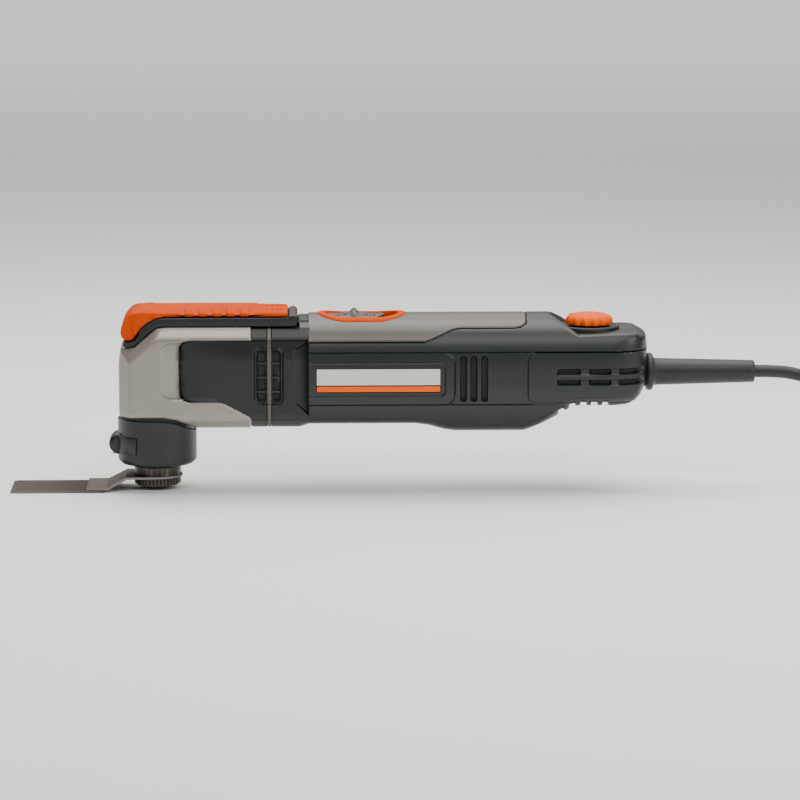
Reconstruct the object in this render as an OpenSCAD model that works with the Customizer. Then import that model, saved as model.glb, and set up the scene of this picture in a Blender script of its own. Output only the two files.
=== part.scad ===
// Oscillating multi tool with a mains lead, a lever operated quick clamp and an offset plunge blade.
// Millimetres. X runs from the blade tip to the lead, Z is up, and the table plane is z = 0.
// Every module is drawn with x measured from the spindle axis; in_frame() moves it into the part's own frame.

/* [Tool] */
// Distance from the blade tip to the spindle axis
blade_reach = 80; // [70:1:95]
// Width of the cutting edge
blade_w = 35; // [28:1:40]
// Height of the motor axis above the table
axis_z = 66; // [66:0.5:67]
// Distance from the spindle axis to the rear wall of the housing
rear_x = 268.5; // [268:0.5:270]
// Total width of the grip
grip_w = 56; // [56:1:60]
// Total width of the gear head
head_w = 50; // [50:1:54]
// Wall thickness of the housings
wall = 2.5; // [2:0.1:2.8]

/* [Controls] */
// Travel of the on-off slider
switch_travel = 6.6; // [4:0.2:6.8]
// Radius of the speed dial
dial_r = 13; // [11:0.5:14]
// Number of finger scallops on the speed dial
dial_scallops = 14; // [10:1:18]
// Drop of the clamp nut when the lever opens
clamp_travel = 2.4; // [1.6:0.2:2.4]

/* [Drive] */
// Eccentricity of the drive pin
eccentricity = 0.85; // [0.5:0.05:0.9]
// Radius of the armature stack
armature_r = 14.5; // [12:0.5:14.8]
// Number of fan blades
fan_blades = 11; // [7:1:13]

/* [Lead] */
// Diameter of the mains lead
cord_d = 7; // [6:0.5:7]
// Length of the bend protector behind the housing
boot_len = 56; // [45:1:60]
// Length of the straight runs of the stored hank of lead
hank_run = 120; // [106:1:126]
// Layers of turns in the hank
hank_layers = 3; // [3:1:4]

/* [Hidden] */
$fn = 48;
gap = 0.05;                       // between fixed pieces that fit together
run = 0.05;                       // radial clearance of a running fit
slack = 0.3;                      // between covers and pieces that pass each other

boot_x = rear_x + 4;              // end of the boot's flange
boot_end = boot_x + boot_len;     // where the lead leaves the boot
spindle_x = (blade_reach - boot_end) / 2;
cord_z = axis_z - 2.5;

// Head and neck
head_front = -20.9;
head_bottom = 35.3;
head_top = 92;
nose_seat = 42.2;                 // where the head meets the nose collar
crease_low = 43.5;                // lower and upper crease of the flat sides
crease_high = 83;
seam_x = 60.5;                    // seam ring between gear head and neck
seam_w = 2.4;
seam_depth = 1.2;
neck_end = 83;
insert_x = 13;                    // front edge of the dark neck housing
silver_end = 52;
head_screw_x = [-6, 30];          // screws that hold the right half of the head to the left
head_screw_y = 20.4;

// Grip and motor housing
grip_top = axis_z + 30.4;
grip_bottom = 38.6;
belly_z = 32.2;
under_z = 48;                     // underside of the rear end
cover_end = 201.8;
land_z = 87.5;
land_x = 229;

// Nose
nose_r = 21.6;
nose_z0 = 14.3;
flange_r = 12.8;
hub_z = 6.8;                      // underside of the blade hub
hub_t = 1.2;
nut_z = 2.4;

// Shafts and bearings
spindle_r = 6;
rod_r = 3.5;
spindle_top = 76.8;
shaft_r = 4;
fork_gap = 6.5 + 2 * eccentricity + 0.05;   // half the gap between the fork's prongs
ecc_x = 28;
core_x0 = 86;                     // front and rear face of the field core
core_x1 = 122;
comm_x = 129;                     // front face of the commutator
web_x = 158;                      // bearing web in the motor housing

// Places of the screws that hold the right half of the housing to the left
screw_places = [[150, 46], [197, 42], [209, 86], [254.5, 79], [238, 53.4]];
screw_head_y = 14;

// Lever
hinge_x = -14.5;
hinge_z = 88.5;
hinge_r = 4.5;
lever_w = 37;
lever_bottom = 97;
lever_top = 101.5;
tray_w = 42;
lug_y = 8;                        // middle of each hinge lug
lug_t = 4.8;
pin_len = 34;

// Switch and dial
bezel_x0 = 88.1;
bezel_w = 32;
bezel_band = 3.5;
slider_x0 = 93.9;
slider_len = 30.6;
bezel_x1 = slider_x0 + slider_len + switch_travel + 5.4;
dial_x = 237.2;
seat_r = 16.5;
seat_top = 89.8;
dial_top = 96;

// Hank: two turns beside each other in each layer, folded with an inner radius of three diameters
fold_r = 3 * cord_d;
hank_r = fold_r + 1.5 * cord_d;   // outer radius of its round ends
hank_x = boot_end + 110;          // centre of its first round end
hank_h = hank_layers * cord_d;
tail_y = -4 * cord_d;             // lane in which the lead leaves the hank
plug_x = hank_x + hank_run + 44;
plug_y = -12;
plug_z = 14;
pin_r = 2.4;                      // contact pins of the plug
pin_y = 9.5;
pin_x0 = 38.4;

// Centre line of the lead from the boot down on to the inner lane of the hank's top layer
lead_points = [
    [boot_end, 0, cord_z], [boot_end + 10, 0, 63.3], [boot_end + 20, 0, 62.3], [boot_end + 30, -0.5, 59.5],
    [boot_end + 40, -1.5, 54.5], [boot_end + 50, -3.5, 47.5], [boot_end + 60, -6, 40], [boot_end + 70, -9, 33.5],
    [boot_end + 81, -12.5, 28.5], [boot_end + 93, -16, 25.2], [boot_end + 106, -19, 22], [boot_end + 120, -21, 19],
    [boot_end + 134, -21, 17.5]
];
// Centre line of the lead from the hank's outer lane to the plug
tail_points = [
    [hank_x + hank_run - 6, tail_y, 3.5], [hank_x + hank_run + 4, -27.8, 3.7], [hank_x + hank_run + 14, -25.5, 5],
    [hank_x + hank_run + 24, -20.5, 8], [hank_x + hank_run + 34, -15, 11.6], [plug_x, plug_y, plug_z]
];

// ---------- helpers ----------

module in_frame() { translate([spindle_x, 0, 0]) children(); }

// A profile in X and Z, spread over a width in Y about y = 0
module side_plate(points, width) {
    translate([0, width / 2, 0]) rotate([90, 0, 0]) linear_extrude(width) polygon(points);
}

// A profile in Y and Z, spread from x0 to x1
module along_x(points, x0, x1) {
    translate([x0, 0, 0]) rotate([90, 0, 90]) linear_extrude(x1 - x0) polygon(points);
}

module rod_x(r, x0, x1, z = axis_z, y = 0) {
    translate([x0, y, z]) rotate([0, 90, 0]) cylinder(r = r, h = x1 - x0);
}

module tube_x(r_out, r_in, x0, x1, z = axis_z) {
    difference() {
        rod_x(r_out, x0, x1, z);
        rod_x(r_in, x0 - 1, x1 + 1, z);
    }
}

module rod_z(r, z0, z1, x = 0, y = 0) { translate([x, y, z0]) cylinder(r = r, h = z1 - z0); }

module tube_z(r_out, r_in, z0, z1, x = 0, y = 0) {
    difference() {
        rod_z(r_out, z0, z1, x, y);
        rod_z(r_in, z0 - 1, z1 + 1, x, y);
    }
}

module box(x0, x1, y0, y1, z0, z1) { translate([x0, y0, z0]) cube([x1 - x0, y1 - y0, z1 - z0]); }

// An oval with round ends along X, standing from z0 to z1
module oval(x0, x1, width, z0, z1) {
    r = width / 2;
    rod_z(r, z0, z1, x0 + r);
    rod_z(r, z0, z1, x1 - r);
    box(x0 + r, x1 - r, -r, r, z0, z1);
}

function lift(v, e) = sign(v) * pow(abs(v), e);

// Half width a, up and down heights, and n for how square the corners are
function section(a, up, down, n, z = axis_z, count = 48) = [
    for (i = [0 : count - 1])
        let (t = 360 * i / count, c = cos(t), s = sin(t))
            [a * lift(c, 2 / n), z + (s >= 0 ? up : down) * lift(s, 2 / n)]
];

function arc(cx, cy, r, a0, a1, steps) = [
    for (i = [0 : steps]) let (a = a0 + (a1 - a0) * i / steps) [cx + r * cos(a), cy + r * sin(a)]
];

// ---------- blade ----------

module blade_plate() {
    teeth = 22;
    pitch = blade_w / teeth;
    edge = [for (i = [0 : teeth - 1], k = [0, 1])
        [-blade_reach + (k == 0 ? 0 : 1.3), -blade_w / 2 + pitch * (i + 0.5 * k)]];
    color("dimgray") linear_extrude(hub_t)
        polygon(concat(edge, [[-blade_reach + 1.3, blade_w / 2], [-29, blade_w / 2], [-29, -blade_w / 2]]));
}

module blade_arm() {
    t = 1.2;
    bend = [[-38.5, t + gap], [-27, t + gap], [-16.6, hub_z], [0, hub_z], [0, hub_z + hub_t],
        [-17.2, hub_z + hub_t], [-27.6, 2 * t + gap], [-38.5, 2 * t + gap]];
    outline = [[-38.5, -blade_w / 2 + 1], [-28, -blade_w / 2 + 1], [-14, -14.6], [0, -13.7], [0, 13.7],
        [-14, 14.6], [-28, blade_w / 2 - 1], [-38.5, blade_w / 2 - 1]];
    color("gray") difference() {
        union() {
            intersection() {
                side_plate(bend, blade_w);
                linear_extrude(20) polygon(outline);
            }
            rod_z(13.7, hub_z, hub_z + hub_t);
        }
        rod_z(rod_r + 0.3, 0, 20);
        for (a = [0 : 45 : 315]) rotate(a) rod_z(1.5, 0, 20, 9.5);
    }
}

// ---------- spindle and clamp ----------

module spindle() {
    color("silver") difference() {
        union() {
            rod_z(spindle_r, 12, spindle_top);
            rod_z(flange_r, hub_z + hub_t + gap, 12.6);
            for (a = [0 : 45 : 315]) rotate(a) rod_z(1.3, hub_z + 0.1, 12, 9.5);
        }
        rod_z(rod_r + run, 0, 100);
    }
}

module drive_fork() {
    z0 = axis_z - 4.5;
    z1 = axis_z + 4.5;
    color("slategray") difference() {
        union() {
            rod_z(10, z0, z1);
            box(0, 24, -10, 10, z0, z1);
            for (s = [-1, 1]) box(18, 37, s * (fork_gap + 1.6) - 1.6, s * (fork_gap + 1.6) + 1.6, z0, z1);
        }
        rod_z(spindle_r + gap, 50, 80);
        box(22, 40, -fork_gap, fork_gap, 50, 80);
    }
}

module spindle_upper_bearing() { color("lightgray") tube_z(10, spindle_r + run, 71, 76.5); }

module spindle_lower_bearing() { color("lightgray") tube_z(14, spindle_r + run, 21, 29); }

module spindle_seal() { color("black") tube_z(13.9, spindle_r + 0.3, 17, 20.5); }

module clamp_bolt() {
    grooves = 40;
    head_z = spindle_top + 6.8 + clamp_travel;
    color("dimgray") difference() {
        union() {
            rod_z(rod_r, nut_z + 1, head_z + 2);
            rod_z(flange_r - 1, nut_z, nut_z + 0.8);
            rod_z(flange_r, nut_z + 0.8, hub_z - gap);
            rod_z(5.5, head_z, head_z + 2.5);
        }
        for (i = [0 : grooves - 1]) rotate(360 * i / grooves) rod_z(0.45, 0, hub_z - 1.4, flange_r);
        rod_z(2.5, 0, nut_z + 2.5);
    }
}

module disc_springs() {
    pitch = 2.2;
    cone = [[rod_r + 0.2, 0], [5.4, 1.2], [5.4, 2.1], [rod_r + 0.2, 0.9]];
    color("silver") for (i = [0 : 3]) translate([0, 0, spindle_top + 0.1 + pitch * i]) rotate_extrude()
        polygon([for (p = cone) [p[0], i % 2 == 0 ? p[1] : 2.1 - p[1]]]);
}

// ---------- gear head ----------

module gear_case() {
    color("silver") difference() {
        union() {
            rod_z(17.6, 16.7, 48);
            box(-14, 44, -17, 17, 45, 77.4);
            rod_x(20.5, 43, 53);
        }
        box(-11, 43.5, -14, 14, 47.5, 70.8);
        rod_z(14 + gap, 0, 29 + gap);
        rod_z(8, 20, 50);
        rod_z(10 + gap, 70, 76.5 + gap);
        rod_z(7, 76, 90);
        rod_x(11 + gap, 44, 54);
        rod_x(8, 24, 50);
        for (a = [45 : 90 : 315]) plate_screw_place(a) cylinder(r = 1.3 + gap, h = 12, center = true);
        for (x = head_screw_x) translate([x, 9, axis_z]) rotate([-90, 0, 0]) cylinder(r = 1.5 + gap, h = 20);
    }
}

// Underside of the head over the nose, which drops at the rear; the collar stays g below it
function seat_line(g) = [
    [30, head_bottom - g], [21.6, head_bottom - g], [18, 37.2 - g], [11, 40.9 - g], [4, nose_seat - g],
    [-30, nose_seat - g]
];

module nose_shape() {
    rod_z(nose_r, nose_z0 + 2, nose_seat);
    translate([0, 0, nose_z0]) cylinder(r1 = nose_r - 2, r2 = nose_r, h = 2, $fn = 96);
}

module nose_collar() {
    color("dimgray") difference() {
        intersection() {
            nose_shape();
            side_plate(concat([[-30, 0], [30, 0]], seat_line(slack + 0.1)), 50);
        }
        rod_z(17.8, nose_z0 + 2.2, 50);
        rod_z(14.5, 0, 50);
        box(-30, -16, -4, 4, 19, 29.5);
    }
}

// Hood of the work light, a band round the nose with a snout in front
module light_hood() {
    reach = nose_r + 4.7;
    color("dimgray") difference() {
        union() {
            intersection() {
                tube_z(nose_r + 1.4, nose_r + 0.1, 19.5, 30.6);
                box(-30, -11, -30, 30, 0, 60);
            }
            intersection() {
                side_plate(concat(arc(-reach + 5.5, 25.1, 5.6, 90, 270, 12), [[-14, 19.5], [-14, 30.7]]), 17);
                difference() {
                    box(-30, -12, -9, 9, 15, 40);
                    rod_z(nose_r + 0.1, 0, 60);
                }
            }
        }
        translate([-reach + 4, 0, 10]) cylinder(r = 2.55, h = 12.5);
    }
}

module light_lens() { color("white") rod_z(2.5, 19.2, 22.4, -nose_r - 0.7); }

// Outline of the head and neck seen from the side, made smaller by t
function head_side(t) = [
    [head_front + t, nose_seat + 1.3 + t], [-19.5 + t, nose_seat + t], [4, nose_seat + t], [11, 40.9 + t],
    [18, 37.2 + t], [21.6, head_bottom + t],
    [neck_end - 0.1, head_bottom + t], [neck_end - 0.1, 94.4 - t], [77.5, 94.2 - t],
    [76.8, head_top - t], [5 + t, head_top - t], [1 + t, head_top - 0.6 - t], [-5 + t, 86.6 - t],
    [-11 + t, 81 - t], [-19.6 + t, 80 - t], [head_front + t, 70]
];

// Cross section of the head and neck, made smaller by t
function head_section(t) = let (w = head_w / 2 - t) [
    [w, crease_low], [w, crease_high], [w - 2, crease_high + 3], [w - 7, head_top + 1 - t], [w - 12, 98 - t],
    [12 - w, 98 - t], [7 - w, head_top + 1 - t], [2 - w, crease_high + 3], [-w, crease_high], [-w, crease_low],
    [-w + 1.5, crease_low - 3], [9 - w, head_bottom + t], [w - 9, head_bottom + t], [w - 1.5, crease_low - 3]
];

// Plan of the head: chamfered in front, waisted at the neck, made smaller by t
function head_plan(t) = let (w = head_w / 2 - t, f = head_front + t) [
    [f, -13], [f + 1.2, -16 + t], [f + 7, -w + 0.6], [f + 10, -w], [73, -w], [neck_end, -w + 2.2],
    [neck_end, w - 2.2], [73, w], [f + 10, w], [f + 7, w - 0.6], [f + 1.2, 16 - t], [f, 13]
];

module head_solid(t) {
    intersection() {
        side_plate(head_side(t), head_w + 2);
        along_x(head_section(t), head_front, neck_end);
        linear_extrude(120) polygon(head_plan(t));
    }
}

// The silver cover reaches back over the top and under the bottom of the dark neck housing
insert_outline = concat(
    [[silver_end, 110], [silver_end, crease_high]],
    arc(insert_x + 5.5, crease_high - 5.5, 5.5, 90, 180, 6),
    arc(insert_x + 5.5, 55.3, 5.5, 180, 270, 6),
    [[34, 49.8], [38, 49], [silver_end - 1.5, 42.4], [silver_end, 41], [silver_end, 20], [100, 20], [100, 110]]
);

module head_shell() {
    difference() {
        head_solid(0);
        head_solid(wall);
        rod_z(17.9, 0, 60);
        rod_z(6.2, 80, 100);
        rod_x(20, neck_end - 4, neck_end + 1);
    }
}

module half(side) { box(-200, 400, side < 0 ? -60 : 0, side < 0 ? 0 : 60, 0, 200); }

// Bosses for the screws in the right side of the head
module head_bosses(side) {
    if (side > 0) for (x = head_screw_x) translate([x, 17.1, axis_z]) rotate([-90, 0, 0]) cylinder(r = 4.4, h = 6);
}

module head_boss_holes() {
    for (x = head_screw_x) translate([x, 0, axis_z]) rotate([-90, 0, 0]) {
        cylinder(r = 1.5 + gap, h = 30);
        translate([0, 0, head_screw_y]) cylinder(r = 3.2, h = 10);
    }
}

module head_cover(side) {
    color("silver") difference() {
        intersection() {
            union() {
                head_shell();
                head_bosses(side);
            }
            half(side);
        }
        side_plate(insert_outline, 80);
        head_boss_holes();
    }
}

module head_cover_left() { head_cover(-1); }

module head_cover_right() { head_cover(1); }

module vent_window(side) {
    y0 = side < 0 ? -40 : 20;
    for (x = [53.8, seam_x + seam_w + 0.3], i = [0 : 3]) box(x, x + 5.6, y0, y0 + 20, 49 + 7.6 * i, 55.4 + 7.6 * i);
}

module neck_housing(side) {
    color("dimgray") difference() {
        intersection() {
            union() {
                head_shell();
                head_bosses(side);
            }
            side_plate(insert_outline, 80);
            half(side);
        }
        vent_window(side);
        head_boss_holes();
        difference() {
            box(seam_x, seam_x + seam_w, -40, 40, 20, 110);
            head_solid(seam_depth);
        }
    }
}

module neck_housing_left() { neck_housing(-1); }

module neck_housing_right() { neck_housing(1); }

module seam_ring() {
    color("gray") intersection() {
        difference() {
            head_solid(0.3);
            head_solid(seam_depth - gap);
        }
        box(seam_x + gap, seam_x + seam_w - gap, -40, 40, 20, 110);
    }
}

// ---------- lever ----------

tray_profile = [
    [-17.5, 81.3], [-11.6, 81.3], [-5.5, 86.8], [0.8, 91.8], [4, 92.1], [74.2, 92.1], [77.2, 93.6], [77.2, 96.2],
    [75.8, 97.6], [73.4, 97.8], [72.4, 96.9], [72.4, lever_bottom - slack], [5, lever_bottom - slack], [0, 96.1],
    [-5.3, 93.2],
    [-8.6, 90.2], [-9.6, 86.6], [-11.4, 84.3], [-14.4, 83.3], [-17.5, 83.4]
];

module lever_tray() {
    color("black") difference() {
        union() {
            difference() {
                intersection() {
                    side_plate(tray_profile, tray_w);
                    along_x(section(tray_w / 2, 8, 12, 3.4, 90, 40), -30, 80);
                }
                rod_z(6.2, 80, 120);
                hinge_hole(hinge_r + slack, tray_w + 2);
            }
            for (s = [-1, 1]) translate([hinge_x, s * lug_y, hinge_z]) {
                rotate([90, 0, 0]) cylinder(r = 2.9, h = lug_t, center = true);
                translate([-2.4, -lug_t / 2, 81.8 - hinge_z]) cube([4.8, lug_t, hinge_z - 81.8]);
            }
        }
        hinge_hole(1.5 + gap, tray_w + 2);
    }
}

module hinge_hole(r, length) {
    translate([hinge_x, 0, hinge_z]) rotate([90, 0, 0]) cylinder(r = r, h = length, center = true);
}

lever_profile = concat(
    arc(hinge_x, hinge_z, hinge_r, 300, 180, 12),
    arc(-5.5, 88, 13.5, 168, 90, 12),
    [[54.2, lever_top], [58.8, 99.6], [70.6, 99.6], [72, 98.6], [72, lever_bottom]],
    [[5, lever_bottom], [0, 96.4], [-5, 93.7], [-8, 91.2]]
);

module clamp_lever() {
    pads = 6;
    pad_x = 13.5;
    pitch = 7.45;
    notch = 2.8;
    side = lever_w / 2;
    color("darkorange") difference() {
        union() {
            intersection() {
                side_plate(lever_profile, lever_w);
                along_x(section(side, lever_top - 90, 12, 3.4, 90, 40), -30, 80);
            }
            intersection() {
                side_plate(lever_profile, lever_w + 1);
                translate([-4, 0, 92.2]) rotate([90, 0, 0]) cylinder(r = 8.6, h = lever_w + 1, center = true);
            }
        }
        for (s = [-1, 1], i = [0 : pads - 1])
            box(pad_x + pitch * i, pad_x + notch + pitch * i, s * side - 0.7, s * side + 0.7, 90, 110);
        hinge_hole(1.5 + run, pin_len + 0.6);
        for (s = [-1, 1]) translate([hinge_x, s * lug_y, hinge_z]) rotate([90, 0, 0])
            cylinder(r = hinge_r + 0.7, h = lug_t + 0.8, center = true);
    }
}

module lever_pin() { color("silver") hinge_hole(1.5, pin_len); }

// ---------- motor housing ----------

// Side outline of the grip and rear housing, made smaller by t
function body_side(t) = [
    [neck_end + t, grip_bottom + t], [143, grip_bottom + t], [150, 37 + t], [157, 34 + t],
    [162.5, belly_z + t], [202, belly_z + t], [219, 42.8 + t], [226, 47 + t], [229, under_z + t],
    [249, under_z + t], [258 - t, 48.8 + t], [264.6 - t, 52 + t], [rear_x - 0.6 - t, 56 + t], [rear_x - t, 70],
    [rear_x + 0.9 - t, 77.2], [rear_x - 0.6 - t, 84.6 - t], [rear_x - 2.2 - t, 86.2 - t],
    [261 - t, land_z - t], [land_x - t, land_z - 0.3 - t], [215.5 - t, grip_top - 0.2 - t],
    [cover_end, grip_top - t], [95, grip_top - t], [neck_end + t, grip_top - 0.7 - t]
];

// Plan of the grip and rear housing, made smaller by t
function body_plan(t) = let (w = grip_w / 2 - t) concat(
    [[neck_end + t, -w], [rear_x - 24, -w]],
    [for (p = arc(rear_x - 24, 0, 1, -90, -25, 8)) [p[0] + (p[0] - rear_x + 24) * (23.9 - t), p[1] * w]],
    [[rear_x + 0.9 - t, -8], [rear_x + 0.9 - t, 8]],
    [for (p = arc(rear_x - 24, 0, 1, 25, 90, 8)) [p[0] + (p[0] - rear_x + 24) * (23.9 - t), p[1] * w]],
    [[neck_end + t, w]]
);

module body_solid(t) {
    intersection() {
        side_plate(body_side(t), grip_w + 2);
        along_x(section(grip_w / 2 - t, grip_top - axis_z - t, axis_z - belly_z + 0.4 - t, 2.7), neck_end, rear_x + 5);
        linear_extrude(120) polygon(body_plan(t));
    }
}

// Region of the top cover, made larger by g
function cover_zone(g) = [
    [neck_end - 1, crease_high - g], [150, crease_high - g], [153.5, 84 - g], [164, 89.6 - g], [167, 90.3 - g],
    [196.5 + g, 90.3 - g], [199.9 + g, 91.2 - g], [cover_end - 0.4 + g, 93 - g], [cover_end + g, 110], [neck_end - 1, 110]
];

module body_shell() {
    difference() {
        body_solid(0);
        body_solid(wall);
        rod_x(24.6, neck_end - 1, neck_end + wall + 1);
    }
}

module side_slots(side) {
    y0 = side < 0 ? -40 : 18;
    for (x = [166.8, 172.6, 178.4]) box(x, x + 3.7, y0, y0 + 22, 53, 74.8);
    for (z = [58.8, 65], x = [220.5, 237, 253]) box(x, x + (x > 250 ? 8.5 : 12.6), y0, y0 + 22, z, z + 3.1);
}

module belly_slots() {
    for (i = [0 : 4]) box(221 + 5.9 * i, 224 + 5.9 * i, -17, 17, 30, under_z + wall + 0.8);
}

module screw_bosses() {
    intersection() {
        for (p = screw_places) translate([p[0], 0, p[1]]) rotate([90, 0, 0]) cylinder(r = 4.2, h = 60, center = true);
        body_solid(0.2);
    }
}

module screw_holes() {
    for (p = screw_places) translate([p[0], -10, p[1]]) rotate([-90, 0, 0]) {
        cylinder(r = 1.5 + gap, h = 40);
        translate([0, 0, screw_head_y + 10]) cylinder(r = 3.3, h = 30);
    }
}

// Web across the housing that holds the rear bearing of the motor
module bearing_web() {
    difference() {
        intersection() {
            box(web_x, web_x + 7.2, -40, 40, axis_z - 13, axis_z + 13);
            body_solid(wall - 0.1);
        }
        rod_x(9.5 + gap, web_x - 1, web_x + 7);
        rod_x(6, web_x - 1, web_x + 10);
    }
}

// Round scoop for the speed dial in the slope of the housing
module dial_scoop(grow, z0) {
    height = 12;
    flare = 6.6;
    translate([dial_x, 0, z0]) cylinder(r1 = seat_r + grow, r2 = seat_r + grow + flare, h = height);
}

// Bed under the scoop, which closes the housing there
module dial_bed() {
    intersection() {
        dial_scoop(slack + wall, land_z - wall);
        body_solid(0);
    }
}

module badge_pocket() {
    for (s = [-1, 1]) box(87.5, 154.6, s * 29 - 1.6, s * 29 + 1.6, 56.3, 69.6);
}

module housing(side) {
    color("dimgray") difference() {
        intersection() {
            union() {
                body_shell();
                screw_bosses();
                bearing_web();
                dial_bed();
            }
            half(side);
        }
        side_plate(cover_zone(0.15), 80);
        side_slots(side);
        belly_slots();
        badge_pocket();
        screw_holes();
        rod_z(8, 80, 100, dial_x);
        dial_scoop(slack, land_z);
        rod_x(8, rear_x - 10, rear_x + 10, cord_z);
    }
}

module housing_left() { housing(-1); }

module housing_right() { housing(1); }

module top_cover() {
    color("dimgray") difference() {
        intersection() {
            body_shell();
            side_plate(cover_zone(0), 80);
        }
        oval(bezel_x0 - 0.1, bezel_x1 + 0.1, bezel_w + 0.2, 85, 110);
    }
}

// A blank name plate on each side, let into the housing
module badges() {
    color("orange") for (s = [-1, 1]) box(87.6, 154.5, s * 27.9 - 0.4, s * 27.9 + 0.4, 56.4, 69.5);
}

// ---------- controls ----------

module switch_bezel() {
    color("darkorange") intersection() {
        difference() {
            oval(bezel_x0, bezel_x1, bezel_w, 84, 110);
            oval(bezel_x0 + bezel_band + 1, bezel_x1 - bezel_band - 0.8, bezel_w - 2 * bezel_band - 1, 80, 120);
        }
        difference() {
            rod_x(31.4, bezel_x0 - 1, bezel_x1 + 1);
            rod_x(27.6, bezel_x0 - 2, bezel_x1 + 2);
        }
    }
}

// Thumb slider with a central ridge and its carrier under the bezel
module switch_slider() {
    mid = slider_x0 + slider_len / 2 - 1;
    ridge = [[mid - 7, 95.4], [mid - 2.4, 96.2], [mid - 0.8, 98.4], [mid + 0.8, 98.4], [mid + 2.4, 96.2],
        [mid + 7, 95.4], [mid + 7, 94], [mid - 7, 94]];
    color("silver") union() {
        intersection() {
            oval(slider_x0, slider_x0 + slider_len, 19, 91, 100);
            rod_x(29.9, slider_x0 - 1, slider_x0 + slider_len + 1);
        }
        side_plate(ridge, 17.6);
        box(slider_x0 + 2, slider_x0 + slider_len - 2, -8, 8, 89.4, 91.5);
    }
}

// Bar that carries the slider's travel to the switch
module switch_link() {
    color("white") union() {
        box(96, 133, -2, 2, 88, 89.3);
        box(129, 133, -2, 2, 84, 89.3);
    }
}

module switch_body() {
    color("black") box(141, 157, -7, 7, 77, 87);
}

module dial_seat() { color("black") tube_z(seat_r, 6.2, land_z + gap, seat_top, dial_x); }

module speed_dial() {
    color("darkorange") difference() {
        union() {
            rod_z(dial_r, seat_top + slack, dial_top - 2, dial_x);
            translate([dial_x, 0, dial_top - 2]) cylinder(r1 = dial_r, r2 = dial_r - 3, h = 2);
            rod_z(3, 84.4, seat_top + 1, dial_x);
        }
        for (i = [0 : dial_scallops - 1])
            translate([dial_x, 0, 0]) rotate(360 * i / dial_scallops) rod_z(1.5, seat_top - 1, 120, dial_r + 0.7);
    }
}

module dial_control() {
    color("green") union() {
        rod_z(7.6, 76, 84, dial_x);
        box(dial_x - 9, dial_x + 9, -10, 10, 73.4, 76);
    }
}

module circuit_board() {
    color("darkgreen") union() {
        box(196, 252, -20, 20, 71.4, 73);
        box(200, 216, -12, 4, 73, 80);
        box(222, 227, 6, 16, 73, 80);
        rod_z(4, 60, 71.5, 206, 12);
        rod_z(4, 60, 71.5, 218, -12);
    }
}

// ---------- motor ----------

module field_core() {
    color("gray") difference() {
        intersection() {
            rod_x(25, core_x0, core_x1);
            box(70, 130, -22, 22, axis_z - 24, axis_z + 21.5);
        }
        rod_x(armature_r + 0.6, 70, 130);
        for (s = [-1, 1]) box(70, 130, -9, 9, axis_z + s * 18 - 3, axis_z + s * 18 + 3);
    }
}

module field_windings() {
    color("orangered") for (x = [core_x0 - 6, core_x1 + gap], s = [-1, 1]) intersection() {
        difference() {
            rod_x(22, x, x + 6 - gap);
            rod_x(armature_r + 1.4, x - 1, x + 9);
        }
        box(x, x + 9, -16, 16, s < 0 ? 30 : axis_z + 5, s < 0 ? axis_z - 5 : axis_z + 21.5);
    }
}

// Shaft with an eccentric pin at its front end
module rotor_shaft() {
    color("silver") union() {
        rod_x(shaft_r, 37, 170);
        rod_x(3, 26, 38, axis_z + eccentricity);
    }
}

module armature_core() { color("gray") tube_x(armature_r, shaft_r + gap, core_x0 + 1, core_x1 - 1); }

module armature_windings() {
    color("orangered") {
        tube_x(12.6, shaft_r + gap, core_x0 - 5, core_x0 + 1 - gap);
        tube_x(12.6, shaft_r + gap, core_x1 - 1 + gap, core_x1 + 5);
    }
}

module commutator() {
    bars = 24;
    color("peru") difference() {
        tube_x(9, shaft_r + gap, comm_x, comm_x + 14);
        for (i = [0 : bars - 1]) translate([0, 0, axis_z]) rotate([360 * i / bars, 0, 0])
            box(comm_x - 1, comm_x + 11, -0.2, 0.2, 8.4, 10);
    }
}

module cooling_fan() {
    color("black") difference() {
        union() {
            rod_x(8, 57, 68);
            rod_x(22, 66, 68);
            for (i = [0 : fan_blades - 1]) translate([0, 0, axis_z]) rotate([360 * i / fan_blades, 0, 0])
                box(58, 66.5, -0.8, 0.8, 7, 21);
        }
        rod_x(shaft_r + gap, 50, 70);
    }
}

module counterweight() {
    color("gray") difference() {
        intersection() {
            rod_x(8.6, 54.7, 56.8);
            box(50, 60, -10, 10, axis_z - 12, axis_z + 4);
        }
        rod_x(shaft_r + gap, 50, 60);
    }
}

module eccentric_bearing() {
    color("lightgray") tube_x(6.5, 3 + gap, ecc_x, ecc_x + 6, axis_z + eccentricity);
}

module rotor_front_bearing() { color("lightgray") tube_x(11, shaft_r + run, 45, 52); }

module rotor_rear_bearing() { color("lightgray") tube_x(9.5, shaft_r + run, web_x - gap, web_x + 6.9); }

// Plate that keeps the front bearing in the gear case
module bearing_plate() {
    color("silver") difference() {
        tube_x(19.4, 7, 53 + gap, 54);
        for (a = [45 : 90 : 315]) plate_screw_place(a) cylinder(r = 1.3 + gap, h = 12, center = true);
    }
}

module plate_screw_place(a) {
    translate([53, 16 * cos(a), axis_z + 16 * sin(a)]) rotate([0, 90, 0]) children();
}

module bearing_plate_screws() {
    color("silver") for (a = [45 : 90 : 315]) plate_screw_place(a) {
        translate([0, 0, -4]) cylinder(r = 1.3, h = 5.05);
        difference() {
            translate([0, 0, 1 + gap]) cylinder(r = 2.4, h = 1.5);
            translate([0, 0, 1.8]) cylinder(r = 1.2, h = 2, $fn = 6);
        }
    }
}

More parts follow.
